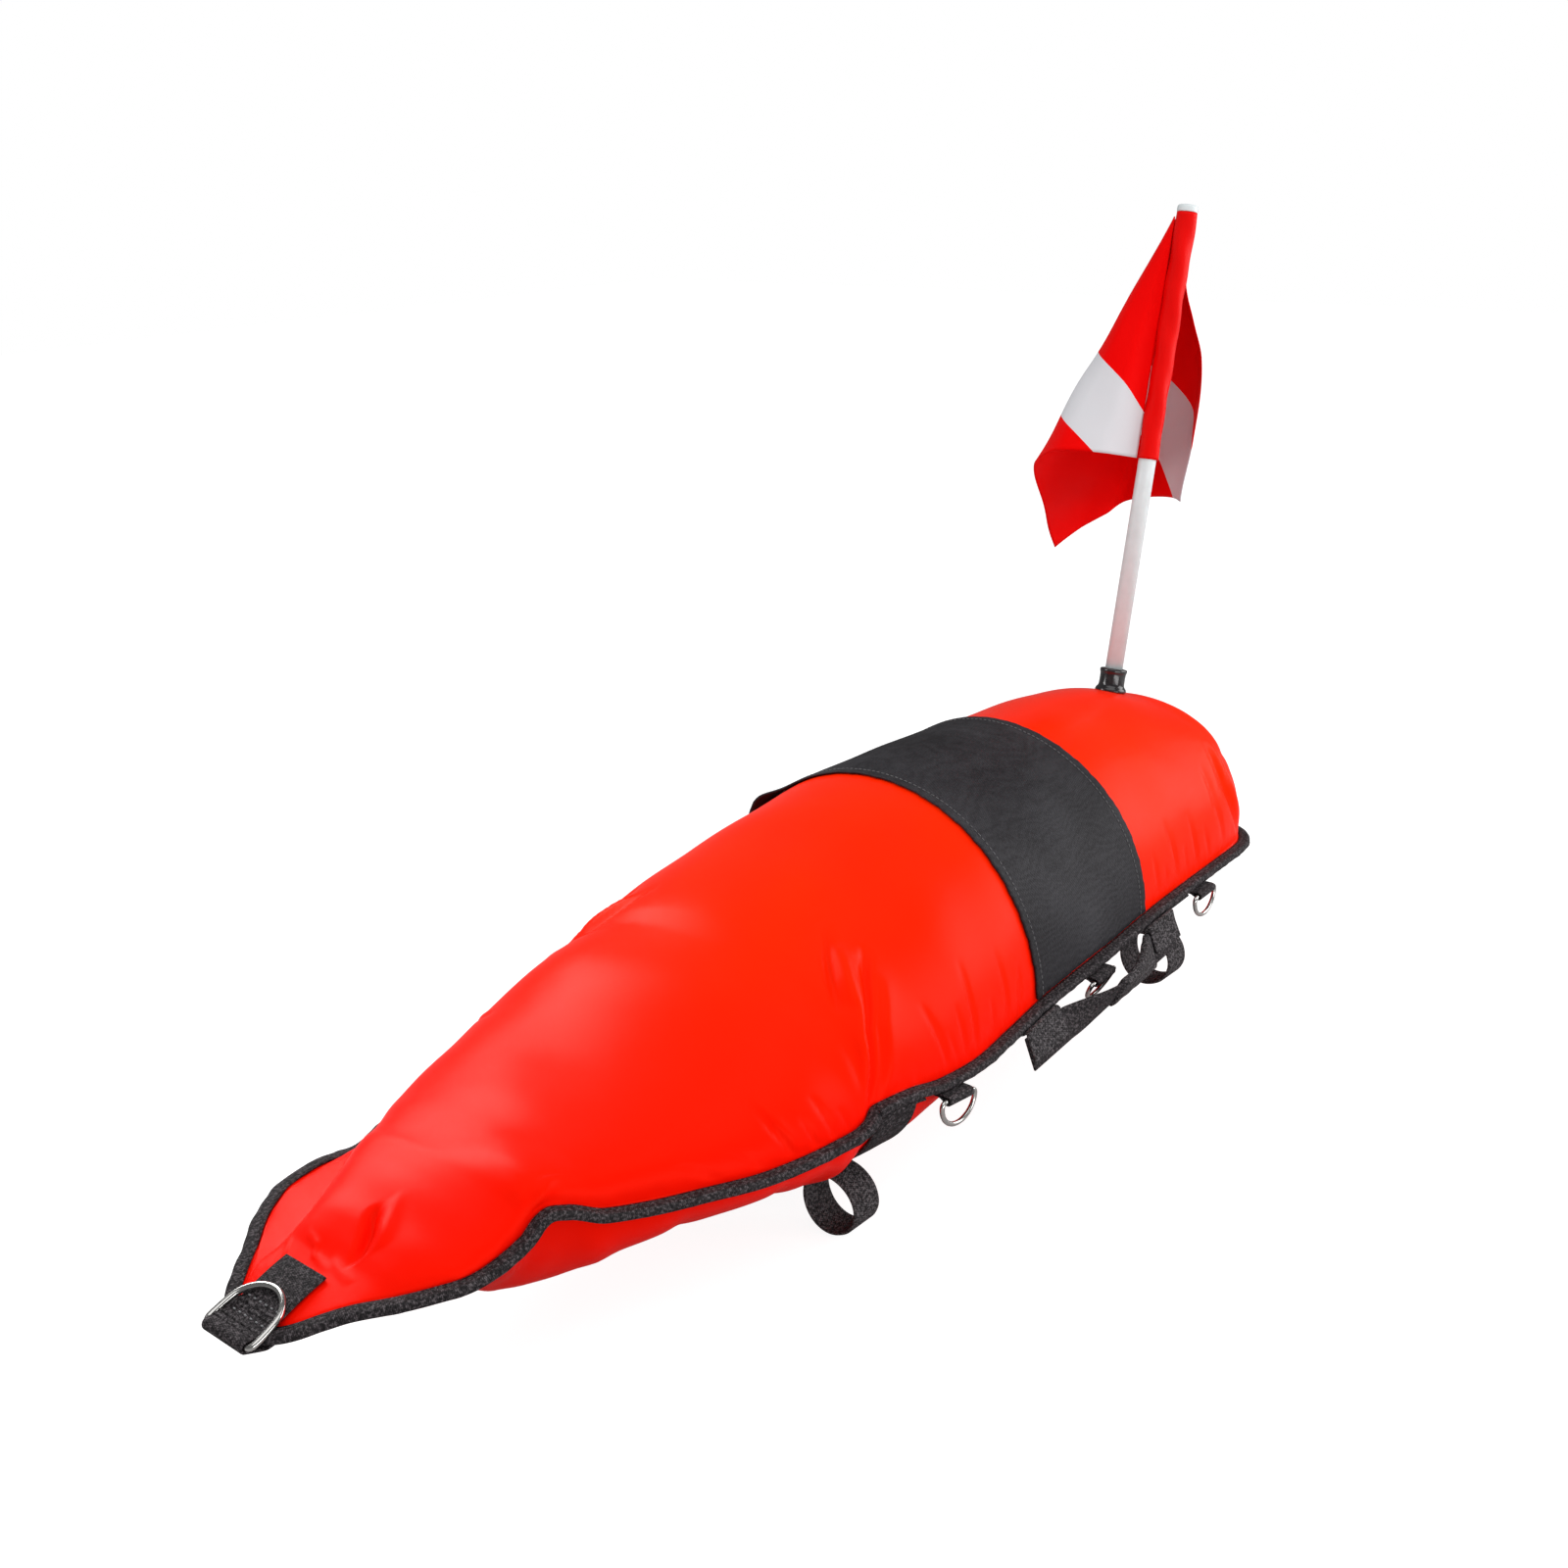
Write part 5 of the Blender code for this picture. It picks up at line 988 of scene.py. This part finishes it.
def ring_line(width, depth, wire):
    """Middle line of a D-ring: a straight bar along X through the origin, its bow towards -Z."""
    half, corner, reach = (width - wire) / 2, wire * CORNER_SIZE, depth - wire
    cut = corner * CORNER_CUT
    straight = max(corner, reach - half if reach > half else 0.0)
    turn = math.pi * np.arange(1, 10) / 10
    bow = np.stack([half * np.cos(turn), 0 * turn, -straight - (reach - straight) * np.sin(turn)], 1)
    bar = np.linspace(-half + corner, half - corner, 6)
    return np.concatenate([
        np.stack([bar, 0 * bar, 0 * bar], 1), [(half - cut, 0, -cut), (half, 0, -corner)],
        bow, [(-half, 0, -corner), (-half + cut, 0, -cut)],
    ])


def rod(name, line, radius, finish, segments=14):
    """A round rod bent into a closed line that lies in one plane."""
    along = unit(np.roll(line, -1, 0) - np.roll(line, 1, 0))
    flat = unit(np.cross(line[len(line) // 3] - line[0], line[2 * len(line) // 3] - line[0]))
    flat = np.broadcast_to(flat, along.shape)
    side = np.cross(along, flat)
    turn = np.arange(segments) * 2 * math.pi / segments
    points = line[:, None] + radius * (
        np.cos(turn)[None, :, None] * side[:, None] + np.sin(turn)[None, :, None] * flat[:, None])
    return skin(name, points, finish, wrap_rows=True, wrap_columns=True)


def placed(points, turn, place):
    """Turns points given in a piece's own directions, the rows of turn, and moves them there."""
    return np.asarray(points) @ np.asarray(turn) + np.asarray(place)


TOW_REST = math.radians(20.0)
tow_back = np.array((math.cos(TOW_REST), 0.0, math.sin(TOW_REST)))
tow_turn = np.array(((0.0, 1.0, 0.0), np.cross(-tow_back, (0.0, 1.0, 0.0)), -tow_back))
tow_place = FLOAT_AT + (NOSE_BAR[0], 0.0, NOSE_BAR[1])
tow_line = smoothed(ring_line(0.0480, 0.0400, TOW_WIRE), 110, closed=True, rounds=2)
tow_ring = rod("tow_ring", placed(tow_line, tow_turn, tow_place), TOW_WIRE / 2, steel)
belongs(tow_ring, "tow_ring", "stainless_steel", "nose_ring")


# Side rings: three on each side, each hanging in a folded tab of webbing that is sewn up under
# the flange
SIDE_XS = (0.460, 0.667, 0.845)
SIDE_LEANS = {"near_middle": -25.0}
SIDE_WIRE, SIDE_WIDTH, SIDE_DEPTH = 0.0036, 0.0410, 0.0235
TAB_WIDTH, TAB_THICKNESS = 0.034 - 2 * SIDE_WIRE, 0.0030
TAB_REACH, TAB_SEWN = 0.0065, 0.0085
TAIL_OUT, BACK_OUT, BACK_DROP = 0.002, 0.0035, 0.8


def seam_directions(x, side):
    """Along the seam, away from the float, and upwards, as rows."""
    way = unit(spots_on(fine_normal, x, fine))
    away = np.array((way[0], -side * way[1], 0.0))
    ends = beside_seam(np.array((x - 0.004, x + 0.004)), 0.0, 0.0, side)
    along = -side * unit(ends[1] - ends[0])
    upward = unit(np.cross(along, away))
    if upward[2] < 0:
        along, upward = -along, -upward
    return np.array((along, np.cross(upward, along), upward))


def side_ring(label, x, side):
    """A tab that folds round a ring's bar under the flange, and the ring in it."""
    turn = seam_directions(x, side)
    place = beside_seam(np.array(x), 0.0, 0.0, side)
    radius = SIDE_WIRE / 2
    eye_at = BINDING_REACH + TAB_REACH - radius - TAB_THICKNESS / 2
    bar = np.array((eye_at, -TAB_TOP - radius - RING_CLEARANCE - TAB_THICKNESS / 2))
    middle = radius + RING_CLEARANCE + TAB_THICKNESS / 4
    bend_turn = np.radians(np.linspace(88, -165, 22))
    eye = bar + middle * np.stack([np.cos(bend_turn), np.sin(bend_turn)], 1)
    sewn, tail_at, back_at = BINDING_REACH - TAB_SEWN, BINDING_REACH - TAIL_OUT, BINDING_REACH - BACK_OUT
    tail_high, back_high = -TAB_TOP - TAB_THICKNESS / 4, -TAB_TOP - TAB_THICKNESS * BACK_DROP
    line = smoothed(np.concatenate([
        [(sewn, tail_high), (tail_at, tail_high)], eye, [(back_at, back_high), (sewn, back_high)],
    ]), 60, rounds=1)
    points = placed(np.stack([0 * line[:, 0], line[:, 0], line[:, 1]], 1), turn, place)
    tab = strap(f"{label}_webbing", points, turn[0], TAB_WIDTH, TAB_THICKNESS / 2 - 0.0001, black_webbing)
    belongs(tab, "float", "black_webbing", f"{label}_tab")
    lean = math.radians(SIDE_LEANS.get(label, 0.0))
    swung = np.array((turn[0], turn[1] * math.cos(lean) + turn[2] * math.sin(lean),
                      turn[2] * math.cos(lean) - turn[1] * math.sin(lean)))
    ring = smoothed(ring_line(SIDE_WIDTH, SIDE_DEPTH, SIDE_WIRE), 90, closed=True, rounds=2)
    hung_at = placed((0.0, bar[0], bar[1]), turn, place)
    made = rod(f"{label}_steel", placed(ring, swung, hung_at), radius, steel)
    belongs(made, f"{label}_ring", "stainless_steel", f"{label}_ring")


for label, x in zip(("front", "middle", "rear"), SIDE_XS):
    side_ring(f"near_{label}", x, -1)
    side_ring(f"far_{label}", x, 1)


# Carry handle: a webbing band between two hook-and-loop tabs sewn into the near seam, with a
# wrapped grip. It twists outwards between the tabs, and swings on their sewn edge
HANDLE_XS, HANDLE_WIDTHS = (0.574, 0.762), (0.047, 0.040)
HANDLE_DROP, HANDLE_STAND_OFF = 0.0215, 0.0022
HANDLE_FREE = (0.17, 0.88)
HANDLE_WIDTH, HANDLE_THICKNESS = 0.0255, 0.0024
HANDLE_SAG, HANDLE_BULGE, HANDLE_TILT, HANDLE_REST = 0.003, 0.010, 48.0, 18.0
GRIP_ENDS, GRIP_WALL, GRIP_END_SHARE, GRIP_WRINKLE = (0.664, 0.738), 0.0022, 0.72, 0.0004
BAND_GAP, GRIP_SKIN, TAPE_TRIM = 0.0006, 0.0006, 0.0004
hinge_out = BINDING_REACH + HANDLE_STAND_OFF + TAB_THICKNESS / 2
hinge_front, hinge_rear = beside_seam(np.array(HANDLE_XS), hinge_out, -TAB_THICKNESS / 2)
handle_span = np.linalg.norm(hinge_rear - hinge_front)
handle_along = (hinge_front - hinge_rear) / handle_span
handle_away = unit(np.cross(handle_along, (0.0, 0.0, -1.0)))
handle_away *= math.copysign(1.0, -handle_away[1])
handle_up = np.cross(handle_along, handle_away)
handle_up *= math.copysign(1.0, handle_up[2])
swing = math.radians(HANDLE_REST)
handle_turn = np.array((
    handle_along, handle_away * math.cos(swing) + handle_up * math.sin(swing),
    handle_up * math.cos(swing) - handle_away * math.sin(swing),
))


def handle_line(share):
    """Middle and cross direction of the band at shares of the span, in the handle's directions. It
    bulges, sags and tilts with the sine of the share between its free ends.
    """
    between = np.clip((share - HANDLE_FREE[0]) / (HANDLE_FREE[1] - HANDLE_FREE[0]), 0.0, 1.0)
    hang = np.sin(math.pi * between)
    inset = TAB_THICKNESS / 2 + BAND_GAP + HANDLE_THICKNESS / 2
    low = TAB_THICKNESS / 2 + GRIP_WALL + HANDLE_WIDTH / 2 + HANDLE_SAG * hang
    middle = np.stack([-handle_span * share, HANDLE_BULGE * hang - inset, -low], 1)
    tilt = np.radians(90 - HANDLE_TILT * hang)
    return middle, np.stack([0 * tilt, np.cos(tilt), np.sin(tilt)], 1)


def handle_piece(name, shares, width, thickness, finish, node):
    """A strip of the handle that runs through these shares of the span."""
    middle, across = handle_line(shares)
    line = placed(middle, handle_turn, hinge_front)
    made = strap(name, line, across @ handle_turn, width, thickness, finish)
    belongs(made, "handle", "black_webbing", node)


handle_piece("carry_band", np.linspace(-0.12, 1.08, 110), HANDLE_WIDTH, HANDLE_THICKNESS - TAPE_TRIM,
             black_webbing, "carry_handle")
grip_shares = np.linspace(*((x - HANDLE_XS[0]) / (HANDLE_XS[1] - HANDLE_XS[0]) for x in GRIP_ENDS), 50)
round_share = np.sin(np.linspace(0, math.pi, 50)) ** 0.5
fullness = 2 * GRIP_WALL * (GRIP_END_SHARE + (1 - GRIP_END_SHARE) * round_share)
fullness = fullness + GRIP_WRINKLE * np.sin(np.linspace(0, 26, 50))
handle_piece("wrapped_grip", grip_shares, HANDLE_WIDTH + GRIP_SKIN + fullness,
             HANDLE_THICKNESS + GRIP_SKIN + fullness, hook_tape, "handle_grip")
# each tab hangs from the seam, sewn twice across, and a short root joins it to the tape
TAB_BULGE, TAB_ROW_MARGIN, TAB_ROW_END, ROOT_THICKNESS = 0.0004, 0.0035, 0.004, 0.0018
root_out = np.array((BINDING_REACH - 0.0050, BINDING_REACH - 0.0010, hinge_out - 0.0012, hinge_out + 0.0006))
root_high = np.array((-BINDING_OUTER - 0.0010, -BINDING_OUTER - 0.0006, -0.0004, -0.0012))
for label, root_x, along, width in (
    ("front", HANDLE_XS[0], 0.0, HANDLE_WIDTHS[0]), ("rear", HANDLE_XS[1], -handle_span, HANDLE_WIDTHS[1]),
):
    drop = np.linspace(0.0005, -HANDLE_DROP, 30)
    line = np.stack([0 * drop + along, TAB_BULGE * np.sin(drop * 210), drop], 1)
    line = placed(line, handle_turn, hinge_front)
    tab = strap(f"handle_{label}_webbing", line, handle_turn[0], width, TAB_THICKNESS - TAPE_TRIM, hook_tape)
    belongs(tab, "handle", "black_webbing", f"handle_{label}_tab")
    root_ends = beside_seam(np.array((root_x - width / 2, root_x + width / 2)), 0.0, 0.0)
    root_line = smoothed(beside_seam(np.full(4, root_x), root_out, root_high), 14, rounds=2)
    root_way = unit(root_ends[1] - root_ends[0])
    root = strap(f"handle_{label}_root", root_line, root_way, width, ROOT_THICKNESS, hook_tape)
    belongs(root, "float", "black_webbing")
    row = along + np.linspace(-width / 2 + TAB_ROW_END, width / 2 - TAB_ROW_END, 12)
    rows_on = [
        np.stack([row, 0 * row + TAB_THICKNESS / 2 + 0.0001, 0 * row - high], 1)
        for high in (TAB_ROW_MARGIN, HANDLE_DROP - TAB_ROW_MARGIN)
    ]
    stitches(f"handle_{label}_tab_stitches", [placed(line, handle_turn, hinge_front) for line in rows_on],
             [handle_turn[1]] * 2, black_thread, "handle")


# Pole socket: black PVC, moulded, welded to the cover near the tail. The pole is a white tube
# with a push-on cap
POLE_X, POLE_LEAN = 0.932, math.radians(14.5)
POLE_RADIUS, POLE_WALL, POLE_LENGTH = 0.00765, 0.0016, 0.417
SOCKET_HEIGHT, SOCKET_FLOOR = 0.0200, 0.0022
SOCKET_RIM, SOCKET_WAIST, SOCKET_BASE = 0.0120, 0.0112, 0.0138
CAP_HEIGHT, CAP_WALL, FIT = 0.0050, 0.0010, 0.0003
WEAR_CONTRAST = (2.6, -1.0)
glossy_pvc, pvc_tree, pvc_shader = new_finish(
    "glossy black pvc", (0.012, 0.012, 0.013), Roughness=0.16, Specular_IOR_Level=0.6, Coat_Weight=0.3)
white_tube, tube_tree, tube_shader = new_finish(
    "white drawn tube", (0.86, 0.86, 0.85), Roughness=0.34, Specular_IOR_Level=0.5)


def worn(tree, shader, clean, rubbed, size, low, high):
    """Mixes a rubbed shade into a clean one in soft patches, rougher where it is rubbed."""
    noise = noise_in(tree, 1 / size, detail=5.0)
    patches = sum_of(tree, "MULTIPLY_ADD", noise, *WEAR_CONTRAST)
    mixed(tree, clean, rubbed, patches, shader.inputs["Base Color"])
    tree.links.new(sum_of(tree, "MULTIPLY_ADD", noise, high - low, low), shader.inputs["Roughness"])


worn(pvc_tree, pvc_shader, (0.010, 0.010, 0.011), (0.022, 0.022, 0.024), 0.004, 0.10, 0.30)
worn(tube_tree, tube_shader, (0.74, 0.80, 0.81), (0.68, 0.73, 0.735), 0.012, 0.26, 0.46)
pole_foot = skin_points(np.array(POLE_X), np.array(math.pi / 2), False)
pole_axes = np.array((
    (math.cos(POLE_LEAN), 0.0, -math.sin(POLE_LEAN)), (0.0, 1.0, 0.0),
    (math.sin(POLE_LEAN), 0.0, math.cos(POLE_LEAN)),
))


def turned(name, profile, finish, foot, axes, segments=48, rounded=True):
    """A closed profile of (radius, height) carried round the third of a set of directions."""
    profile = np.array(profile)
    if rounded:
        profile = smoothed(profile, 4 * len(profile) + 40, closed=True, rounds=2)
    turn = np.arange(segments) * 2 * math.pi / segments
    radius, height = profile[:, 0], profile[:, 1]
    points = np.stack([
        radius[:, None] * np.cos(turn), radius[:, None] * np.sin(turn), height[:, None] + 0 * turn,
    ], axis=-1)
    return skin(name, placed(points, axes, foot), finish, wrap_rows=True, wrap_columns=True,
                inside=np.asarray(foot) + np.asarray(axes)[2] * height.mean())


base_high = SOCKET_FLOOR * 0.35
bore = POLE_RADIUS + FIT
socket_profile = (
    (0.0005, base_high + SOCKET_FLOOR), (bore, base_high + SOCKET_FLOOR), (bore, SOCKET_HEIGHT),
    (SOCKET_RIM, SOCKET_HEIGHT), (SOCKET_RIM, SOCKET_HEIGHT * 0.86), (SOCKET_WAIST, SOCKET_HEIGHT * 0.76),
    (SOCKET_WAIST, SOCKET_HEIGHT * 0.30), (SOCKET_WAIST * 1.05, SOCKET_HEIGHT * 0.20),
    (SOCKET_BASE, SOCKET_HEIGHT * 0.10), (SOCKET_BASE, base_high - 0.002), (0.0005, base_high - 0.002),
)
socket = turned("socket_moulding", socket_profile, glossy_pvc, pole_foot, pole_axes)
belongs(socket, "float", "black_pvc", "pole_socket")
seat = pole_foot + pole_axes[2] * (base_high + SOCKET_FLOOR + FIT)
tube_profile = (
    (POLE_RADIUS - POLE_WALL, 0.0), (POLE_RADIUS, 0.0), (POLE_RADIUS, POLE_LENGTH),
    (POLE_RADIUS - POLE_WALL, POLE_LENGTH),
)
pole = turned("pole_tube", tube_profile, white_tube, seat, pole_axes, rounded=False)
belongs(pole, "pole", "white_tube", "flag_pole")
cap_in, cap_out = POLE_RADIUS + FIT, POLE_RADIUS + FIT + CAP_WALL
cap_profile = (
    (0.0004, POLE_LENGTH + FIT), (cap_in, POLE_LENGTH + FIT), (cap_in, POLE_LENGTH - CAP_HEIGHT),
    (cap_out, POLE_LENGTH - CAP_HEIGHT), (cap_out, POLE_LENGTH + FIT * 0.5),
    (cap_out * 0.8, POLE_LENGTH + FIT + CAP_WALL), (0.0004, POLE_LENGTH + FIT + CAP_WALL),
)
cap = turned("pole_cap", cap_profile, white_tube, seat, pole_axes)
belongs(cap, "pole", "white_tube", "pole_tip_cap")


# Flag: thin red nylon with a white diagonal stripe, hanging from its hoist in one deep fold, and
# a sleeve sewn along the hoist that the pole slides into
HOIST, FLY, STRIPE, FLAG_WALL = 0.210, 0.245, 0.060, 0.0005
SLEEVE_WALL, SLEEVE_CLEARANCE = 0.0012, 0.0004
FACING, FLAG_WRAP = math.radians(49.0), math.radians(140.0)
FLAG_STAND_OFF, FLAG_ROOT = 0.00045, 0.02
RIPPLE_DEPTH, RIPPLE_START, CRUMPLE_DEPTH = 0.0016, 0.15, 0.00035
# how far the cloth leans sideways and back for its drop, at even steps from the hoist to the fly
FLAG_SLOPES = (
    (0.0, 0.0), (-0.176, -0.07), (-0.335, -0.017), (-0.385, 0.12), (-0.07, 0.46),
    (0.06, 0.50), (0.18, 0.42), (0.285, 0.25), (0.25, 0.09),
)
sideways, backward = (
    line_through(*((i, slope[k]) for i, slope in enumerate(FLAG_SLOPES))) for k in (0, 1)
)
spread = line_through(
    (0.0, 0.05), (0.2, 0.2), (0.36, 0.75), (0.49, 1.0), (0.78, 0.75), (1.0, 0.56), (1.5, 0.5),
)
RED, WHITE = (0.86, 0.0006, 0.0008), (0.68, 0.68, 0.71)
flag_cloth, flag_tree, flag_shader = new_finish(
    "red and white flag nylon", RED, Roughness=0.5, Specular_IOR_Level=0.05,
    Specular_Tint=(1.0, 0.6, 0.5, 1.0))
flag_u, flag_v = uv_parts(flag_tree)
diagonal = math.hypot(1 / FLY, 1 / HOIST)
lean_across = sum_of(flag_tree, "MULTIPLY_ADD", flag_u, 1 / FLY / diagonal, sum_of(
    flag_tree, "MULTIPLY", flag_v, 1 / HOIST / diagonal))
off_middle = sum_of(flag_tree, "ABSOLUTE", sum_of(flag_tree, "SUBTRACT", lean_across, 1 / diagonal))
in_stripe = sum_of(flag_tree, "LESS_THAN", off_middle, STRIPE / 2)
mixed(flag_tree, RED, WHITE, in_stripe, flag_shader.inputs["Base Color"])
bumped(flag_tree, flag_shader, run_group(flag_tree, weave, Spacing=0.0004)["Threads"], 0.00005)

flag_right = np.array((math.cos(FACING), -math.sin(FACING), 0.0))
flag_back = np.array((math.sin(FACING), math.cos(FACING), 0.0))


def ruling(at, reach):
    """Unit direction of the hanging cloth from the top of the hoist."""
    aside = sideways(at)
    aside = np.where(aside > 0, aside * spread(reach / FLY), aside)
    return unit(aside[..., None] * flag_right + backward(at)[..., None] * flag_back - (0.0, 0.0, 1.0))


# the turn of the cloth about the top of the hoist is measured along the fan of rulings
measure = np.linspace(0, len(FLAG_SLOPES) - 1, 401)
rays = ruling(measure, np.full(401, FLY / 2))
travelled = np.append(0.0, np.cumsum(np.arccos(np.clip((rays[1:] * rays[:-1]).sum(1), -1, 1))))
cloth_turn = np.linspace(0, math.pi / 2, 121)
fly_corner = math.atan2(FLY, HOIST)
cloth_turn[np.argmin(np.abs(cloth_turn - fly_corner))] = fly_corner
edge = np.minimum(
    HOIST / np.maximum(np.cos(cloth_turn), SMALLEST), FLY / np.maximum(np.sin(cloth_turn), SMALLEST))
reach = edge * np.linspace(FLAG_ROOT, 1.0, 70)[:, None]
at = np.interp(cloth_turn / (math.pi / 2) * travelled[-1], travelled, measure)
wrap = math.pi - FLAG_WRAP * np.linspace(0, 1, 121)[:, None]
stand_off = POLE_RADIUS + SLEEVE_CLEARANCE + SLEEVE_WALL + FLAG_STAND_OFF
sleeve_top = seat + pole_axes[2] * (POLE_LENGTH - CAP_HEIGHT - FIT)
flag_root = sleeve_top + stand_off * (np.cos(wrap) * flag_right + np.sin(wrap) * flag_back) @ pole_axes
flag_points = flag_root + reach[..., None] * (ruling(np.broadcast_to(at, reach.shape), reach) @ pole_axes)
ripple = RIPPLE_DEPTH * np.sin(cloth_turn * 14 + reach * 60) * np.sin(cloth_turn * 2)
ripple = ripple * np.clip(reach / RIPPLE_START, 0, 1) ** 2
flag_points = flag_points + ripple[..., None] * grid_normals(flag_points)
flag_uvs = np.stack([reach * np.sin(cloth_turn), reach * np.cos(cloth_turn)], axis=-1)
flag = skin("hanging_flag", flag_points, flag_cloth, flag_uvs)
walled(flag, FLAG_WALL).modifiers["wall"].offset = 0.0
belongs(flag, "flag", "red_flag_cloth", "flag_cloth")

red_nylon, _, _ = woven(
    "red flag nylon", (0.68, 0.0006, 0.0006), (0.90, 0.001, 0.001), 0.0004, 0.03, 0.00005,
    Roughness=0.45, Specular_IOR_Level=0.12, Specular_Tint=(1.0, 0.6, 0.5, 1.0),
)
sleeve_high = np.linspace(0, -HOIST, 90)[:, None]
sleeve_turn = np.arange(40) * 2 * math.pi / 40
crumple = np.sin(sleeve_high * 160 + 2 * sleeve_turn) + np.sin(sleeve_high * 67 + 3 * sleeve_turn)
sleeve_radius = POLE_RADIUS + SLEEVE_CLEARANCE + SLEEVE_WALL - 0.0003 + CRUMPLE_DEPTH * crumple
outside = np.stack([
    sleeve_radius * np.cos(sleeve_turn), sleeve_radius * np.sin(sleeve_turn), sleeve_high + 0 * sleeve_turn,
], axis=-1)
sleeve = skin("sleeve_cloth", placed(outside, pole_axes, sleeve_top), red_nylon, wrap_columns=True,
              inside=sleeve_top - pole_axes[2] * HOIST / 2)
belongs(walled(sleeve, 0.0007), "flag", "red_flag_cloth", "flag_sleeve")


# Bladder: welded orange film, blown up tight just inside the cover, with the valve through its
# belly. The cover hides it, but it is what gives the float its form
bladder_film, film_tree, film_shader = new_finish(
    "welded bladder film", (0.85, 0.35, 0.10), Roughness=0.3, Specular_IOR_Level=0.5, Coat_Weight=0.2)
worn(film_tree, film_shader, (0.85, 0.35, 0.10), (0.75, 0.26, 0.07), 0.03, 0.22, 0.42)
BLADDER_FRONT, BLADDER_END_GAP, BLADDER_MARGIN = 0.128, 0.004, 0.06
BLADDER_BREADTH, BLADDER_HEIGHT = 0.94, 0.86
inner_x = places_between(BLADDER_FRONT, TAIL_TIP - BLADDER_END_GAP, 140)
inner_turn = np.linspace(BLADDER_MARGIN, math.pi - BLADDER_MARGIN, 44)
inner_top = cover_face(inner_x, inner_turn, creased=0.0)
inner_low = cover_face(inner_x, inner_turn, under=True, creased=0.0)
inner_height = (inner_top[:, :, 2] + inner_low[:, :, 2]) / 2
for face in (inner_top, inner_low):
    face[:, :, 1] *= BLADDER_BREADTH
    face[:, :, 2] = inner_height + (face[:, :, 2] - inner_height) * BLADDER_HEIGHT
bladder = skin("air_bladder", np.concatenate([inner_top, inner_low[:, ::-1]], 1), bladder_film,
               wrap_columns=True, caps=True, inside=body_middle)
belongs(bladder, "float", "bladder_film", "bladder")


# Valve and zip: small parts on the belly. The moulded valve and the metal slider and pull are
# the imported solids, and the zip tape is woven, with its coil down the middle
for node, finish in (
    ("inflation_valve", glossy_pvc), ("valve_stopper", glossy_pvc),
    ("zip_slider", steel), ("zip_pull", steel),
):
    for material_slot in bpy.data.objects[node].material_slots:
        material_slot.material = finish
COIL_DEPTH, COIL_PITCH, ZIP_BACK = 0.00025, 0.0032, 0.0001
# half of the tape's section, from its edge to the middle of the coil: across, and down
ZIP_HALF = np.array((
    (-0.0120, 0.0009), (-0.0060, 0.0009), (-0.0030, 0.0009),
    (-0.0024, 0.0016), (-0.0016, 0.0026), (0.0, 0.0030),
))
zip_low, zip_high = (np.array(corner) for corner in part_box("zip_tape"))
zip_x = np.linspace(zip_low[0], zip_high[0], 240)[:, None]
coil_wave = COIL_DEPTH * np.sin(zip_x * 2 * math.pi / COIL_PITCH)
zip_y, zip_drop = np.concatenate([ZIP_HALF, ZIP_HALF[-2::-1] * (-1, 1)]).T
zip_rows = np.stack([
    zip_x + 0 * zip_y, (zip_low[1] + zip_high[1]) / 2 + zip_y + 0 * zip_x,
    zip_high[2] - zip_drop + coil_wave * (zip_drop > ZIP_HALF[0, 1]),
], axis=-1)
zip_flat = zip_rows.copy()
zip_flat[..., 2] = zip_high[2] - ZIP_BACK
zipper = skin("zip_tape_and_coil", np.concatenate([zip_rows, zip_flat[:, ::-1]], 1), black_webbing,
              wrap_columns=True, caps=True)
belongs(zipper, "float", "black_webbing", "zip_tape")
